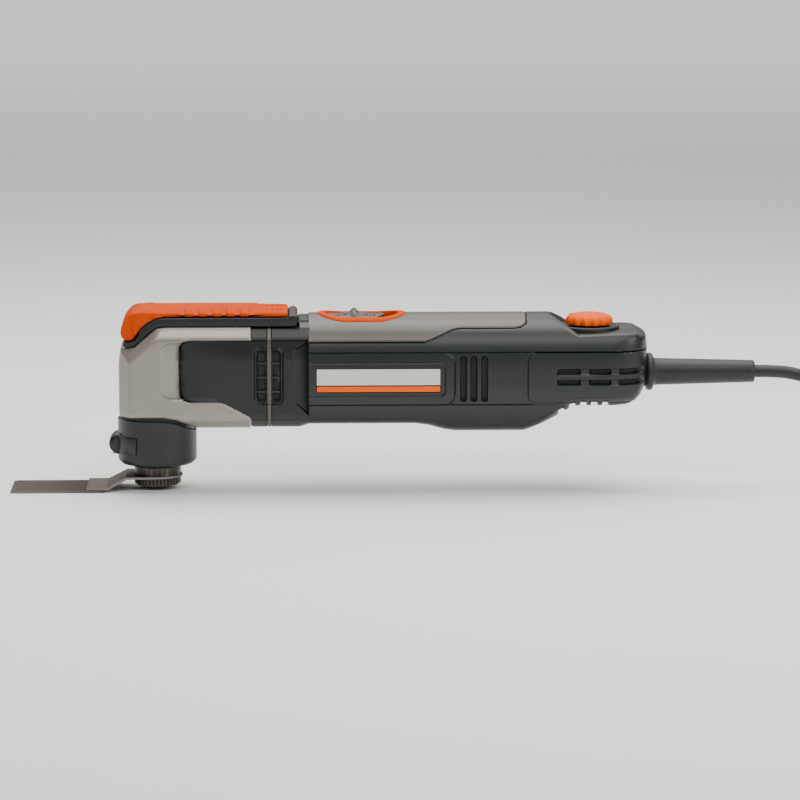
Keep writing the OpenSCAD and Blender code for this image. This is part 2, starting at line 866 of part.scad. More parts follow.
module brush_holders() {
    color("brown") for (s = [-1, 1]) difference() {
        box(comm_x + 1, comm_x + 13, s * 16.5 - 6, s * 16.5 + 6, axis_z - 5, axis_z + 5);
        box(comm_x + 3.4, comm_x + 10.6, -30, 30, axis_z - 3, axis_z + 3);
    }
}

module carbon_brushes() {
    color("black") for (s = [-1, 1])
        box(comm_x + 3.6, comm_x + 10.4, s * 14.5 - 5.2, s * 14.5 + 5.2, axis_z - 2.8, axis_z + 2.8);
}

// ---------- fasteners ----------

module screw(r, length) {
    difference() {
        union() {
            cylinder(r = r, h = length);
            translate([0, 0, length]) cylinder(r = 2 * r, h = 1.9);
        }
        translate([0, 0, length + 0.7]) cylinder(r = r, h = 2, $fn = 6);
    }
}

module housing_screws() {
    color("silver") for (p = screw_places)
        translate([p[0], -8, p[1]]) rotate([-90, 0, 0]) screw(1.5, screw_head_y + 8);
}

module head_screws() {
    color("silver") for (x = head_screw_x)
        translate([x, 14.2, axis_z]) rotate([-90, 0, 0]) screw(1.5, head_screw_y - 14.2);
}

// ---------- lead ----------

module cord_boot() {
    color("black") difference() {
        union() {
            rod_x(7.9, rear_x - 8, rear_x + 2, cord_z);
            rod_x(10.3, rear_x + 1, boot_x - 0.8, cord_z);
            translate([boot_x - 0.8, 0, cord_z]) rotate([0, 90, 0]) cylinder(r1 = 10.3, r2 = 9.4, h = 0.8);
            translate([boot_x - 1, 0, cord_z]) rotate([0, 90, 0]) cylinder(r1 = 7.5, r2 = 6, h = boot_len + 1);
        }
        rod_x(cord_d / 2 + 0.2, rear_x - 10, boot_end + 5, cord_z);
    }
}

module cord_clamp() {
    color("dimgray") difference() {
        box(252, 258.5, -14, 14, cord_z - 5, cord_z + 5.4);
        rod_x(cord_d / 2 + 0.1, 250, 270, cord_z);
    }
}

// A round tube swept along points, each ring square to the path
function unit(v) = v / norm(v);
function heading(pts, i) = unit(pts[min(i + 1, len(pts) - 1)] - pts[max(i - 1, 0)]);

module sweep(pts, r, sides = 10) {
    n = len(pts);
    rings = [for (i = [0 : n - 1])
        let (d = heading(pts, i), u = unit(cross(d, [0, 0, 1])), v = cross(u, d))
            for (k = [0 : sides - 1]) let (a = 360 * k / sides) pts[i] + r * (cos(a) * u + sin(a) * v)];
    walls = [for (i = [0 : n - 2], k = [0 : sides - 1])
        let (a = i * sides + k, b = i * sides + (k + 1) % sides) [a, a + sides, b + sides, b]];
    ends = [[for (k = [0 : sides - 1]) k], [for (k = [sides - 1 : -1 : 0]) (n - 1) * sides + k]];
    polyhedron(rings, concat(walls, ends));
}

module cord_lead() { color("black") sweep(lead_points, cord_d / 2); }

module cord_tail() { color("black") sweep(tail_points, cord_d / 2); }

module cord_hank() { color("black") translate([hank_x, 0, 0]) hank_outline(hank_r, 0, hank_h); }

module hank_outline(r, z0, z1) { oval(-r, hank_run + r, 2 * r, z0, z1); }

// Strap round the middle of the hank
module hank_tie() {
    t = 1.5;
    half_w = 7;
    mid = hank_x + hank_run / 2;
    color("black") difference() {
        box(mid - half_w, mid + half_w, -hank_r - t, hank_r + t, 0, hank_h + t);
        box(mid - half_w - 1, mid + half_w + 1, -hank_r - gap, hank_r + gap, -1, hank_h + gap);
    }
}

// Contour plug for 4.8 mm pins
module plug_body() {
    outline = [[0, -5], [6, -6], [12, -12], [26, -17.5], [36, -18.5], [38, -17.5], [38, 17.5], [36, 18.5],
        [26, 17.5], [12, 12], [6, 6], [0, 5]];
    side = [[0, -5], [8, -6], [16, -11.5], [26, -14], [36, -14], [38, -13], [38, 13], [36, 14], [26, 14],
        [16, 11.5], [8, 6], [0, 5]];
    color("black") translate([plug_x, plug_y, plug_z]) difference() {
        intersection() {
            translate([0, 0, -20]) linear_extrude(40) polygon(outline);
            side_plate(side, 50);
        }
        for (s = [-1, 1]) translate([26, s * pin_y, 0]) rotate([0, 90, 0]) cylinder(r = pin_r - 0.5 + gap, h = 20);
    }
}

module plug_pins() {
    color("silver") translate([plug_x, plug_y, plug_z]) for (s = [-1, 1]) translate([0, s * pin_y, 0]) {
        rod_x(pin_r - 0.5, 26.1, pin_x0 + 1, 0);
        rod_x(pin_r, pin_x0, 57, 0);
    }
}

in_frame() blade_plate();
in_frame() blade_arm();
in_frame() spindle();
in_frame() drive_fork();
in_frame() spindle_upper_bearing();
in_frame() spindle_lower_bearing();
in_frame() spindle_seal();
in_frame() clamp_bolt();
in_frame() disc_springs();
in_frame() gear_case();
in_frame() nose_collar();
in_frame() light_hood();
in_frame() light_lens();
in_frame() head_cover_left();
in_frame() head_cover_right();
in_frame() neck_housing_left();
in_frame() neck_housing_right();
in_frame() seam_ring();
in_frame() lever_tray();
in_frame() clamp_lever();
in_frame() lever_pin();
in_frame() housing_left();
in_frame() housing_right();
in_frame() top_cover();
in_frame() badges();
in_frame() switch_bezel();
in_frame() switch_slider();
in_frame() switch_link();
in_frame() switch_body();
in_frame() dial_seat();
in_frame() speed_dial();
in_frame() dial_control();
in_frame() circuit_board();
in_frame() field_core();
in_frame() field_windings();
in_frame() rotor_shaft();
in_frame() armature_core();
in_frame() armature_windings();
in_frame() commutator();
in_frame() cooling_fan();
in_frame() counterweight();
in_frame() eccentric_bearing();
in_frame() rotor_front_bearing();
in_frame() rotor_rear_bearing();
in_frame() bearing_plate();
in_frame() bearing_plate_screws();
in_frame() brush_holders();
in_frame() carbon_brushes();
in_frame() housing_screws();
in_frame() head_screws();
in_frame() cord_boot();
in_frame() cord_clamp();
in_frame() cord_lead();
in_frame() cord_hank();
in_frame() cord_tail();
in_frame() hank_tie();
in_frame() plug_body();
in_frame() plug_pins();
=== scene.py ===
"""Looks of the oscillating multi tool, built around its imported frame.

Shapes are worked out in millimetres from the spindle axis, and row() moves them into the frame in metres."""

import math

import bmesh
import bpy
import numpy as np
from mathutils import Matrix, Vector


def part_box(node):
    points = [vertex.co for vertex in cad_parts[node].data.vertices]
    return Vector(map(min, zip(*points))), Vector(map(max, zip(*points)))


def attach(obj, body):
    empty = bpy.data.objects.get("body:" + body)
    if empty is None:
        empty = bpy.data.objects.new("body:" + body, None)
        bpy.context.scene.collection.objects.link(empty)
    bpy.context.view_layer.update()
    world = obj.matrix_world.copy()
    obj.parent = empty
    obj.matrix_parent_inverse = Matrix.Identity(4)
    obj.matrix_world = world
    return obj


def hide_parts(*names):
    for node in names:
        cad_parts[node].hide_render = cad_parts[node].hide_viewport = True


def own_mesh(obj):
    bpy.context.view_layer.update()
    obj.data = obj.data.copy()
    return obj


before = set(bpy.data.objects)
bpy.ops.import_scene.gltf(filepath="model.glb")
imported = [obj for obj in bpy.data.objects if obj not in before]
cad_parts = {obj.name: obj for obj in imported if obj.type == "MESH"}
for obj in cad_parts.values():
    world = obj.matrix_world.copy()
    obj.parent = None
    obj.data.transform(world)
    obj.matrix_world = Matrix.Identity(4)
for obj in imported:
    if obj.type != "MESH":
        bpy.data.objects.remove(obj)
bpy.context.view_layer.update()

# ---------------------------------------------------------------- sizes from the frame

MM = 0.001


def box_mm(node):
    """Lowest and highest corner of a CAD node in millimetres, with x from the spindle axis."""
    low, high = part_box(node)
    return (np.array(low) - SPINDLE) / MM, (np.array(high) - SPINDLE) / MM


spindle_low, spindle_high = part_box("spindle")
SPINDLE = np.array([(spindle_low.x + spindle_high.x) / 2, 0, 0])
shaft_low, shaft_high = box_mm("armature_core")
AXIS_Z = (shaft_low[2] + shaft_high[2]) / 2
housing_low, housing_high = box_mm("housing_left")
HALF_W = -housing_low[1]
GRIP_X0, REAR_X = housing_low[0], housing_high[0]
GRIP_TOP = box_mm("top_cover")[1][2]
BELLY_Z = housing_low[2]
head_low = box_mm("head_cover_left")[0]
HEAD_HALF, HEAD_FRONT = -head_low[1], head_low[0]
neck_low, neck_high = box_mm("neck_housing_left")
NECK_END, HEAD_BOTTOM = neck_high[0], neck_low[2]
seam_low, seam_high = box_mm("seam_ring")
SEAM_X0, SEAM_X1 = seam_low[0], seam_high[0]
collar_low, collar_high = box_mm("nose_collar")
NOSE_R, NOSE_Z0 = collar_high[0], collar_low[2]
LEVER_TOP = box_mm("clamp_lever")[1][2]
bezel_low, bezel_high = box_mm("switch_bezel")
slider_low, slider_high = box_mm("switch_slider")
dial_low, dial_high = box_mm("speed_dial")
DIAL_X, DIAL_R = (dial_low[0] + dial_high[0]) / 2, (dial_high[1] - dial_low[1]) / 2
seat_low, seat_high = box_mm("dial_seat")
boot_low, boot_high = box_mm("cord_boot")
BOOT_END = boot_high[0]
CORD_D = 7.0
CORD_Z = AXIS_Z - 2.5
UNDER_Z = 48.0                     # underside of the housing's rear end
NOSE_SEAT = 42.2                   # where the gear head meets the nose collar


def row(points):
    """Points in millimetres from the spindle, as points of the row frame in metres."""
    return np.asarray(points, float) * MM + SPINDLE


# ---------------------------------------------------------------- camera, light and floor

PICTURE_W = 0.440          # width of the view at the tool
LENS, SENSOR = 180.0, 36.0
VIEW_AZIMUTH, VIEW_ELEVATION = -1.5, 9.0
LOOK_AT = row([133.4, 0, 48.1])


def add_camera():
    """Camera at the height and distance that give a side view of the whole tool and the start of its lead."""
    azimuth, elevation = math.radians(VIEW_AZIMUTH), math.radians(VIEW_ELEVATION)
    back = Vector((math.sin(azimuth) * math.cos(elevation), -math.cos(azimuth) * math.cos(elevation),
                   math.sin(elevation)))
    data = bpy.data.cameras.new("camera")
    data.lens, data.sensor_width = LENS, SENSOR
    camera = bpy.data.objects.new("camera", data)
    camera.location = Vector(LOOK_AT) + back * (PICTURE_W * LENS / SENSOR)
    camera.rotation_mode = "QUATERNION"
    camera.rotation_quaternion = (-back).to_track_quat("-Z", "Y")
    bpy.context.scene.collection.objects.link(camera)
    bpy.context.scene.camera = camera


def add_area(name, place, aim, size, watts, colour):
    """Soft rectangular light."""
    data = bpy.data.lights.new(name, "AREA")
    data.shape, data.size, data.size_y = "RECTANGLE", size[0], size[1]
    data.energy, data.color = watts, colour
    lamp = bpy.data.objects.new(name, data)
    lamp.location = place
    lamp.rotation_mode = "QUATERNION"
    lamp.rotation_quaternion = (Vector(aim) - Vector(place)).to_track_quat("-Z", "Y")
    bpy.context.scene.collection.objects.link(lamp)


def add_studio():
    """Lights: one over the tool, a strip and a small one in front, and a wide one over the far floor."""
    aim = tuple(LOOK_AT)
    add_area("top_light", (0.10, 0.22, 1.05), aim, (1.5, 0.9), 22, (1.0, 0.97, 0.93))
    add_area("strip_light", (0.05, -0.85, 0.95), aim, (1.2, 0.35), 7, (1.0, 0.98, 0.95))
    add_area("front_light", (1.25, -1.0, 0.75), aim, (0.5, 0.5), 7, (1.0, 0.98, 0.95))
    add_area("far_light", (0.13, 4.2, 2.2), (0.13, 4.2, 0), (8.0, 4.0), 140, (1.0, 0.99, 0.98))
    world = bpy.data.worlds.new("studio")
    world.use_nodes = True
    sky = world.node_tree.nodes["Background"].inputs
    sky["Color"].default_value = (0.93, 0.95, 0.955, 1)
    sky["Strength"].default_value = 0.24
    bpy.context.scene.world = world


def add_floor():
    """Pale floor that reaches past the edges of every view."""
    size = 6.0
    corners = [(x * size, y * size, 0) for x, y in ((-1, -1), (1, -1), (1, 1), (-1, 1))]
    mesh = bpy.data.meshes.new("floor")
    mesh.from_pydata(corners, [], [(0, 1, 2, 3)])
    floor = bpy.data.objects.new("floor", mesh)
    bpy.context.scene.collection.objects.link(floor)
    mesh.materials.append(simple_material("floor_paper", (0.86, 0.87, 0.87), 0.7))


# ---------------------------------------------------------------- materials


def linear(hex_colour):
    """Linear colour of an sRGB hex string."""
    values = [int(hex_colour[i:i + 2], 16) / 255 for i in (0, 2, 4)]
    return tuple(v / 12.92 if v <= 0.04045 else ((v + 0.055) / 1.055) ** 2.4 for v in values)


def set_inputs(node, values):
    """Sets a shader node's inputs by name."""
    for name, value in values.items():
        node.inputs[name].default_value = value


def node_material(name):
    """New material with its node tree and its shader."""
    material = bpy.data.materials.new(name)
    material.use_nodes = True
    tree = material.node_tree
    return material, tree, tree.nodes["Principled BSDF"]


def simple_material(name, colour, roughness):
    """Plain finish with a faint change of tone."""
    material, tree, shader = node_material(name)
    noise = tree.nodes.new("ShaderNodeTexNoise")
    set_inputs(noise, {"Scale": 40})
    ramp = tree.nodes.new("ShaderNodeValToRGB")
    ramp.color_ramp.elements[0].color = (*[c * 0.98 for c in colour], 1)
    ramp.color_ramp.elements[1].color = (*colour, 1)
    place = tree.nodes.new("ShaderNodeTexCoord")
    tree.links.new(place.outputs["Object"], noise.inputs["Vector"])
    tree.links.new(noise.outputs["Fac"], ramp.inputs["Fac"])
    tree.links.new(ramp.outputs["Color"], shader.inputs["Base Color"])
    set_inputs(shader, {"Roughness": roughness})
    return material


def surface(name, colour, rough, grain, bump, tone, metallic=0.0, stretch=(1, 1, 1), specular=0.5, wear=0.0,
            wear_colour=None, coat=0.0, sheen=0.0, rim_tint=1.0):
    """Procedural finish with slow tone changes, fine grain and lighter worn edges."""
    colour = linear(colour)
    material, tree, shader = node_material(name)
    nodes, links = tree.nodes, tree.links
    place = nodes.new("ShaderNodeTexCoord")
    mapping = nodes.new("ShaderNodeMapping")
    set_inputs(mapping, {"Scale": stretch})
    links.new(place.outputs["Object"], mapping.inputs["Vector"])

    slow = nodes.new("ShaderNodeTexNoise")
    set_inputs(slow, {"Scale": 34, "Detail": 4})
    links.new(place.outputs["Object"], slow.inputs["Vector"])
    ramp = nodes.new("ShaderNodeValToRGB")
    ramp.color_ramp.elements[0].position, ramp.color_ramp.elements[1].position = 0.3, 0.7
    ramp.color_ramp.elements[0].color = (*[c * (1 - tone) for c in colour], 1)
    ramp.color_ramp.elements[1].color = (*[min(1, c * (1 + tone)) for c in colour], 1)
    links.new(slow.outputs["Fac"], ramp.inputs["Fac"])
    colour_out = ramp.outputs["Color"]
    if wear:
        shape = nodes.new("ShaderNodeNewGeometry")
        edge = nodes.new("ShaderNodeMapRange")
        set_inputs(edge, {"From Min": 0.52, "From Max": 0.60, "To Max": wear})
        links.new(shape.outputs["Pointiness"], edge.inputs["Value"])
        mix = nodes.new("ShaderNodeMix")
        mix.data_type = "RGBA"
        links.new(edge.outputs["Result"], mix.inputs["Factor"])
        links.new(colour_out, mix.inputs["A"])
        worn = linear(wear_colour) if wear_colour else [min(1, c * 2.2 + 0.03) for c in colour]
        mix.inputs["B"].default_value = (*worn, 1)
        colour_out = mix.outputs["Result"]
    links.new(colour_out, shader.inputs["Base Color"])

    fine = nodes.new("ShaderNodeTexNoise")
    set_inputs(fine, {"Scale": grain, "Detail": 3})
    links.new(mapping.outputs["Vector"], fine.inputs["Vector"])
    gloss = nodes.new("ShaderNodeMapRange")
    set_inputs(gloss, {"From Min": 0.3, "From Max": 0.7, "To Min": rough[0], "To Max": rough[1]})
    links.new(fine.outputs["Fac"], gloss.inputs["Value"])
    links.new(gloss.outputs["Result"], shader.inputs["Roughness"])
    relief = nodes.new("ShaderNodeBump")
    set_inputs(relief, {"Strength": bump, "Distance": 0.0002})
    links.new(fine.outputs["Fac"], relief.inputs["Height"])
    links.new(relief.outputs["Normal"], shader.inputs["Normal"])
    set_inputs(shader, {"Metallic": metallic, "Specular IOR Level": specular, "Coat Weight": coat,
                        "Coat Roughness": 0.25, "Sheen Weight": sheen,
                        "Specular Tint": (rim_tint, rim_tint, rim_tint, 1)})
    return material


def make_lens():
    """Clear plastic of the work light's lens."""
    material, _, shader = node_material("light_lens")
    set_inputs(shader, {"Base Color": (0.93, 0.96, 1.0, 1), "Roughness": 0.12, "Transmission Weight": 0.7})
    return material


def make_materials():
    """Every finish: name, colour, roughness, grain, bump and tone, then what is special about it."""
    lines = (1, 60, 1)
    return {
        "charcoal": surface("charcoal_nylon", "191e1e", (0.32, 0.44), 2600, 0.14, 0.06, wear=0.35),
        "dark": surface("dark_nylon", "111615", (0.32, 0.44), 2600, 0.10, 0.08, wear=0.30),
        "cover": surface("grey_nylon", "55504b", (0.30, 0.42), 2600, 0.12, 0.06, wear=0.35),
        "black": surface("black_nylon", "0a0f0e", (0.44, 0.56), 2600, 0.10, 0.08, wear=0.25),
        "orange": surface("orange_nylon", "f46000", (0.46, 0.58), 2600, 0.08, 0.03, specular=0.08, wear=0.08,
                          wear_colour="ff9040"),
        "silver": surface("silver_paint", "958f87", (0.28, 0.36), 5200, 0.10, 0.03, metallic=0.45, wear=0.25,
                          wear_colour="e8e4df", coat=0.15),
        "slider": surface("slider_grey", "4a4744", (0.34, 0.46), 3000, 0.10, 0.05, metallic=0.3, wear=0.2),
        # darker copy of the orange nylon, used on the lever and the switch frame: painted shade that holds
        # back the strong top light on them
        "lever": surface("shaded_orange_copy", "cc4300", (0.50, 0.62), 2600, 0.08, 0.03, specular=0.04, wear=0.08,
                         wear_colour="f07020"),
        "badge_colour": surface("badge_orange", "f46400", (0.50, 0.60), 3000, 0.05, 0.02, specular=0.2),
        "badge_light": surface("badge_pale", "d8d5cf", (0.50, 0.60), 3000, 0.05, 0.02),
        "blade": surface("blade_steel", "322e2b", (0.32, 0.46), 900, 0.12, 0.16, metallic=0.9,
                         stretch=lines, wear=0.3, wear_colour="c9c0b6", rim_tint=0.3),
        "arm": surface("carrier_steel", "453f3a", (0.30, 0.44), 900, 0.12, 0.14, metallic=0.9,
                       stretch=lines, wear=0.3, wear_colour="d9d0c6", rim_tint=0.4),
        "clamp": surface("black_oxide_steel", "1f1d1c", (0.30, 0.42), 2600, 0.12, 0.12, metallic=0.5,
                         wear=0.4, wear_colour="8f8880"),
        "steel": surface("turned_steel", "b9b9ba", (0.18, 0.32), 1500, 0.08, 0.06, metallic=1.0,
                         stretch=(1, 30, 30)),
        "cast": surface("die_cast", "a7a9ab", (0.42, 0.60), 900, 0.30, 0.08, metallic=0.85),
        "iron": surface("laminations", "6f7275", (0.36, 0.52), 2200, 0.35, 0.10, metallic=0.8,
                        stretch=(1, 0.02, 0.02)),
        "copper": surface("enamelled_copper", "b0562a", (0.24, 0.40), 1400, 0.60, 0.18, metallic=0.8,
                          stretch=(0.1, 1, 1)),
        "brass": surface("brass", "b99548", (0.24, 0.38), 1400, 0.10, 0.10, metallic=1.0),
        "carbon": surface("carbon", "1d1d1e", (0.50, 0.70), 1800, 0.25, 0.15),
        "board": surface("circuit_board", "1d5130", (0.30, 0.45), 1500, 0.08, 0.10),
        "rubber": surface("cord_rubber", "101313", (0.42, 0.56), 1500, 0.10, 0.08, sheen=0.1),
        "seal": surface("seal_rubber", "171818", (0.50, 0.65), 1500, 0.15, 0.08),
        "pin": surface("nickel_pin", "cfcac0", (0.12, 0.22), 1500, 0.04, 0.04, metallic=1.0),
        # near-black floor of the shallow pockets that stand for vents, slots and notches: painted shade for
        # the dark inside of an opening
        "painted_shade_finish": surface("painted_shade_floor", "101312", (0.60, 0.75), 1200, 0.10, 0.10),
        "lens": make_lens(),
    }


# ---------------------------------------------------------------- solids as distance functions


def smooth_max(a, b, blend):
    """The larger of two distances, with the edge between them rounded over a width of blend."""
    near = np.maximum(blend - np.abs(a - b), 0) / blend
    return np.maximum(a, b) + near * near * blend / 4


def outline_distance(points, u, v):
    """Distance from (u, v) to a closed outline, negative inside it."""
    points = np.asarray(points, float)
    best = np.full(np.shape(u), 1e18)
    inside = np.zeros(np.shape(u), bool)
    for (u0, v0), (u1, v1) in zip(points, np.roll(points, -1, axis=0)):
        du, dv = u1 - u0, v1 - v0
        t = np.clip(((u - u0) * du + (v - v0) * dv) / max(du * du + dv * dv, 1e-12), 0, 1)
        best = np.minimum(best, (u - u0 - t * du) ** 2 + (v - v0 - t * dv) ** 2)
        if dv:
            inside ^= ((v0 <= v) != (v1 <= v)) & (u < u0 + (v - v0) * du / dv)
    return np.where(inside, -1.0, 1.0) * np.sqrt(best)


def inset(points, distance):
    """The same outline moved inwards, for outlines that run anticlockwise."""
    points = np.asarray(points, float)
    edges = np.roll(points, -1, axis=0) - points
    edges /= np.linalg.norm(edges, axis=1)[:, None]
    normals = np.stack([-edges[:, 1], edges[:, 0]], 1)
    before = np.roll(normals, 1, axis=0)
    across = before + normals
    scale = 1 / np.maximum((across * normals).sum(1), 0.3)
    return points + across * scale[:, None] * distance


def rounded(points, radius):
    """Distance function of an anticlockwise outline whose outer corners are rounded."""
    core = inset(points, radius)
    return lambda u, v: outline_distance(core, u, v) - radius


def rounded_box(u, v, low_u, high_u, low_v, high_v, radius):
    """Distance to a rectangle with round corners."""
    du = np.abs(u - (low_u + high_u) / 2) - (high_u - low_u) / 2 + radius
    dv = np.abs(v - (low_v + high_v) / 2) - (high_v - low_v) / 2 + radius
    return np.hypot(np.maximum(du, 0), np.maximum(dv, 0)) + np.minimum(np.maximum(du, dv), 0) - radius


def gradient(function, points, step=0.02):
    """Direction in which a function of x, y and z grows."""
    x, y, z = points.T
    return np.stack([function(x + step, y, z) - function(x - step, y, z),
                     function(x, y + step, z) - function(x, y - step, z),
                     function(x, y, z + step) - function(x, y, z - step)], 1) / (2 * step)


def on_surface(distance, core, target, reach):
    """Where the rays from core towards target leave the solid."""
    way = target - core
    way /= np.linalg.norm(way, axis=1)[:, None]
    low, high = np.zeros(len(core)), np.full(len(core), reach)
    for _ in range(22):
        middle = (low + high) / 2
        p = core + way * middle[:, None]
        inside = distance(p[:, 0], p[:, 1], p[:, 2]) < 0
        low, high = np.where(inside, middle, low), np.where(inside, high, middle)
    return core + way * ((low + high) / 2)[:, None]


def wrap(distance, x0, x1, core_z, rows, round_steps, details, grid, front_rows=0, rear_rows=0, reach=75.0,
         front_lip=False, rear_lip=False):
    """Skin of a solid as a grid of quads, found along rays from a straight core at height core_z.

    Each detail is (kind, function, depth): a vertex near the function's zero line is moved on to it, then
    a groove cuts a V along the line, a pocket lowers what is inside it, and an opening is a pocket whose
    floor takes a near-black finish: painted shade for the dark inside of an opening that is not cut through.
    A lip turns an open end inwards. Returns points, faces and which faces are floors of openings."""
    core_x = np.concatenate([np.full(front_rows, x0), np.linspace(x0, x1, rows), np.full(rear_rows, x1)])
    tilt = np.concatenate([-np.linspace(90, 90 / max(front_rows, 1), front_rows), np.zeros(rows),
                           np.linspace(90 / max(rear_rows, 1), 90, rear_rows)])
    turn = np.radians(np.arange(round_steps) * 360 / round_steps)
    tilt = np.radians(np.clip(tilt, -89.7, 89.7))
    core = np.stack([np.repeat(core_x, round_steps), np.zeros(len(core_x) * round_steps),
                     np.full(len(core_x) * round_steps, core_z)], 1)
    c, s = np.repeat(np.cos(tilt), round_steps), np.repeat(np.sin(tilt), round_steps)
    angle = np.tile(turn, len(core_x))
    points = on_surface(distance, core, core + np.stack([s, -c * np.sin(angle), c * np.cos(angle)], 1), reach)
    for _ in range(2):
        for _, function, _ in details:
            value = function(*points.T)
            near = np.abs(value) < grid * 0.55
            if not near.any():
                continue
            slope = gradient(function, points[near])
            size = np.maximum((slope ** 2).sum(1), 0.05)
            goal = points[near] - slope * (value[near] / size)[:, None]
            flat = np.zeros(len(goal))
            start = np.stack([np.clip(goal[:, 0], x0, x1), flat, flat + core_z], 1)
            points[near] = on_surface(distance, start, goal, reach)
    normal = gradient(distance, points)
    normal /= np.maximum(np.linalg.norm(normal, axis=1), 1e-6)[:, None]
    depth = np.zeros(len(points))
    values = []
    for kind, function, deep in details:
        value = function(*points.T)
        values.append(value)
        amount = deep(*points.T) if callable(deep) else deep
        if kind == "groove":
            depth += amount * np.clip(1 - np.abs(value) / (grid * 0.9), 0, 1)
        else:
            depth += amount * np.clip(-value / (grid * 0.6), 0, 1)
    points = points - normal * depth[:, None]
    count = len(core_x)
    index = np.arange(count * round_steps).reshape(count, round_steps)
    a, b = index[:-1], index[1:]
    faces = np.stack([a, np.roll(a, -1, 1), np.roll(b, -1, 1), b], -1).reshape(-1, 4)
    floor = np.zeros(len(faces), bool)
    # the floor of each opening's pocket is picked out here for the near-black finish: painted shade for the
    # dark inside of an opening
    for (kind, _, _), value in zip(details, values):
        if kind == "painted_shade_opening":
            floor |= (value[faces] < -grid * 0.35).all(1)
    for wanted, first, side in ((front_lip, 0, -1), (rear_lip, (count - 1) * round_steps, 1)):
        if not wanted:
            continue
        edge = points[first:first + round_steps]
        middle = np.array([0, 0, core_z])
        ring = first + np.arange(round_steps)
        for inwards, out in ((0.02, 0.35), (0.30, 0.35)):
            new = edge + (middle - edge) * [0, inwards, inwards] + [side * out, 0, 0]
            new_ring = len(points) + np.arange(round_steps)
            quads = np.stack([ring, np.roll(ring, -1), np.roll(new_ring, -1), new_ring], -1)
            faces = np.concatenate([faces, quads if side > 0 else quads[:, ::-1]])
            floor = np.concatenate([floor, np.zeros(round_steps, bool)])
            points = np.concatenate([points, new])
            ring = new_ring
    return points, faces, floor


# ---------------------------------------------------------------- making pieces

FINISHES = make_materials()


def add_piece(name, shape, finish, node, body="root", sharp=38, closed=False):
    """Mesh object that stands for a CAD node and rides on its body.

    Its shape is points in millimetres and faces; a closed solid is turned outside out."""
    points, faces = shape
    points = row(points)
    faces = [tuple(int(i) for i in f) for f in faces]
    used = sorted({i for f in faces for i in f})
    remap = {old: new for new, old in enumerate(used)}
    mesh = bpy.data.meshes.new(name)
    mesh.from_pydata(points[used].tolist(), [], [tuple(remap[i] for i in f) for f in faces])
    mesh.validate()
    if closed:
        solid = bmesh.new()
        solid.from_mesh(mesh)
        bmesh.ops.recalc_face_normals(solid, faces=solid.faces)
        solid.to_mesh(mesh)
        solid.free()
    mesh.shade_smooth()
    mesh.set_sharp_from_angle(angle=math.radians(sharp))
    mesh.materials.append(FINISHES[finish])
    piece = bpy.data.objects.new(name, mesh)
    bpy.context.scene.collection.objects.link(piece)
    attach(piece, body)
    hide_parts(node)
    return piece


def apply_modifiers(piece):
    """Replaces a piece's mesh with what its modifiers make of it."""
    graph = bpy.context.evaluated_depsgraph_get()
    made = bpy.data.meshes.new_from_object(piece.evaluated_get(graph))
    piece.modifiers.clear()
    piece.data = made


def soften(piece, width, segments=3, angle=30, sharp=50):
    """Rounds a piece's edges."""
    bevel = piece.modifiers.new("bevel", "BEVEL")
    bevel.width, bevel.segments = width * MM, segments
    bevel.limit_method, bevel.angle_limit = "ANGLE", math.radians(angle)
    bevel.use_clamp_overlap = True
    apply_modifiers(piece)
    piece.data.shade_smooth()
    piece.data.set_sharp_from_angle(angle=math.radians(sharp))


def loft(rings, loop=False, caps=False):
    """Points and faces of a skin through closed rings of points; a loop ends where it began."""
    rows, columns = len(rings), len(rings[0])
    points = [tuple(p) for ring in rings for p in ring]
    faces = []
    for i in range(rows if loop else rows - 1):
        for j in range(columns):
            k, n = (j + 1) % columns, (i + 1) % rows
            faces.append((i * columns + j, i * columns + k, n * columns + k, n * columns + j))
    if caps:
        faces += [tuple(range(columns - 1, -1, -1)), tuple(range(len(points) - columns, len(points)))]
    return points, faces


def lathe(profile, turns=96, radius=None, centre=(0, 0), axis="z", loop=False):
    """A profile of (radius, height) turned about an axis; radius may vary with the angle."""
    rings = []
    for r, h in profile:
        ring = []
        for k in range(turns):
            a = 2 * math.pi * k / turns
            rr = radius(r, a) if radius else r
            if axis == "z":
                ring.append((centre[0] + rr * math.cos(a), centre[1] + rr * math.sin(a), h))
            else:
                ring.append((h, centre[0] - rr * math.sin(a), centre[1] + rr * math.cos(a)))
        rings.append(ring)
    return loft(rings, loop)


def slab(outline, levels, cap=None):
    """An outline in x and z repeated at levels of y, with its top held under cap(x, y)."""
    return loft([[(x, y, min(z, cap(x, y)) if cap else z) for x, z in outline] for y in levels], caps=True)


def joined(parts):
    """Several sets of points and faces as one."""
    points, faces = [], []
    for p, f in parts:
        base = len(points)
        points += p
        faces += [tuple(i + base for i in face) for face in f]
    return points, faces


def arc(cx, cz, r, start, stop, steps):
    """Points on a circle from one angle to another, in degrees."""
    turn = [math.radians(start + (stop - start) * i / steps) for i in range(steps + 1)]
    return [(cx + r * math.cos(a), cz + r * math.sin(a)) for a in turn]


# ---------------------------------------------------------------- details of skins

ELSEWHERE = 9.0                    # distance to a detail where it doesn't apply


def box_xz(*sides):
    """Distance to a rectangle with round corners, seen from the side."""
    return lambda x, z: rounded_box(x, z, *sides)


def box_xy(low_z, high_z, *sides):
    """Distance to a rectangle with round corners, seen from above, between two heights."""
    return lambda x, y, z: np.where((z > low_z) & (z < high_z), rounded_box(x, y, *sides), ELSEWHERE)


def beyond(inner, function):
    """Limits a detail seen from the side to where |y| is more than inner."""
    return lambda x, y, z: np.where(np.abs(y) > inner, function(x, z), ELSEWHERE)


def trimmed(inner, function):
    """The same for a pocket, whose own edge then runs along |y| = inner."""
    return lambda x, y, z: np.maximum(function(x, z), inner - np.abs(y))


# ---------------------------------------------------------------- motor housing

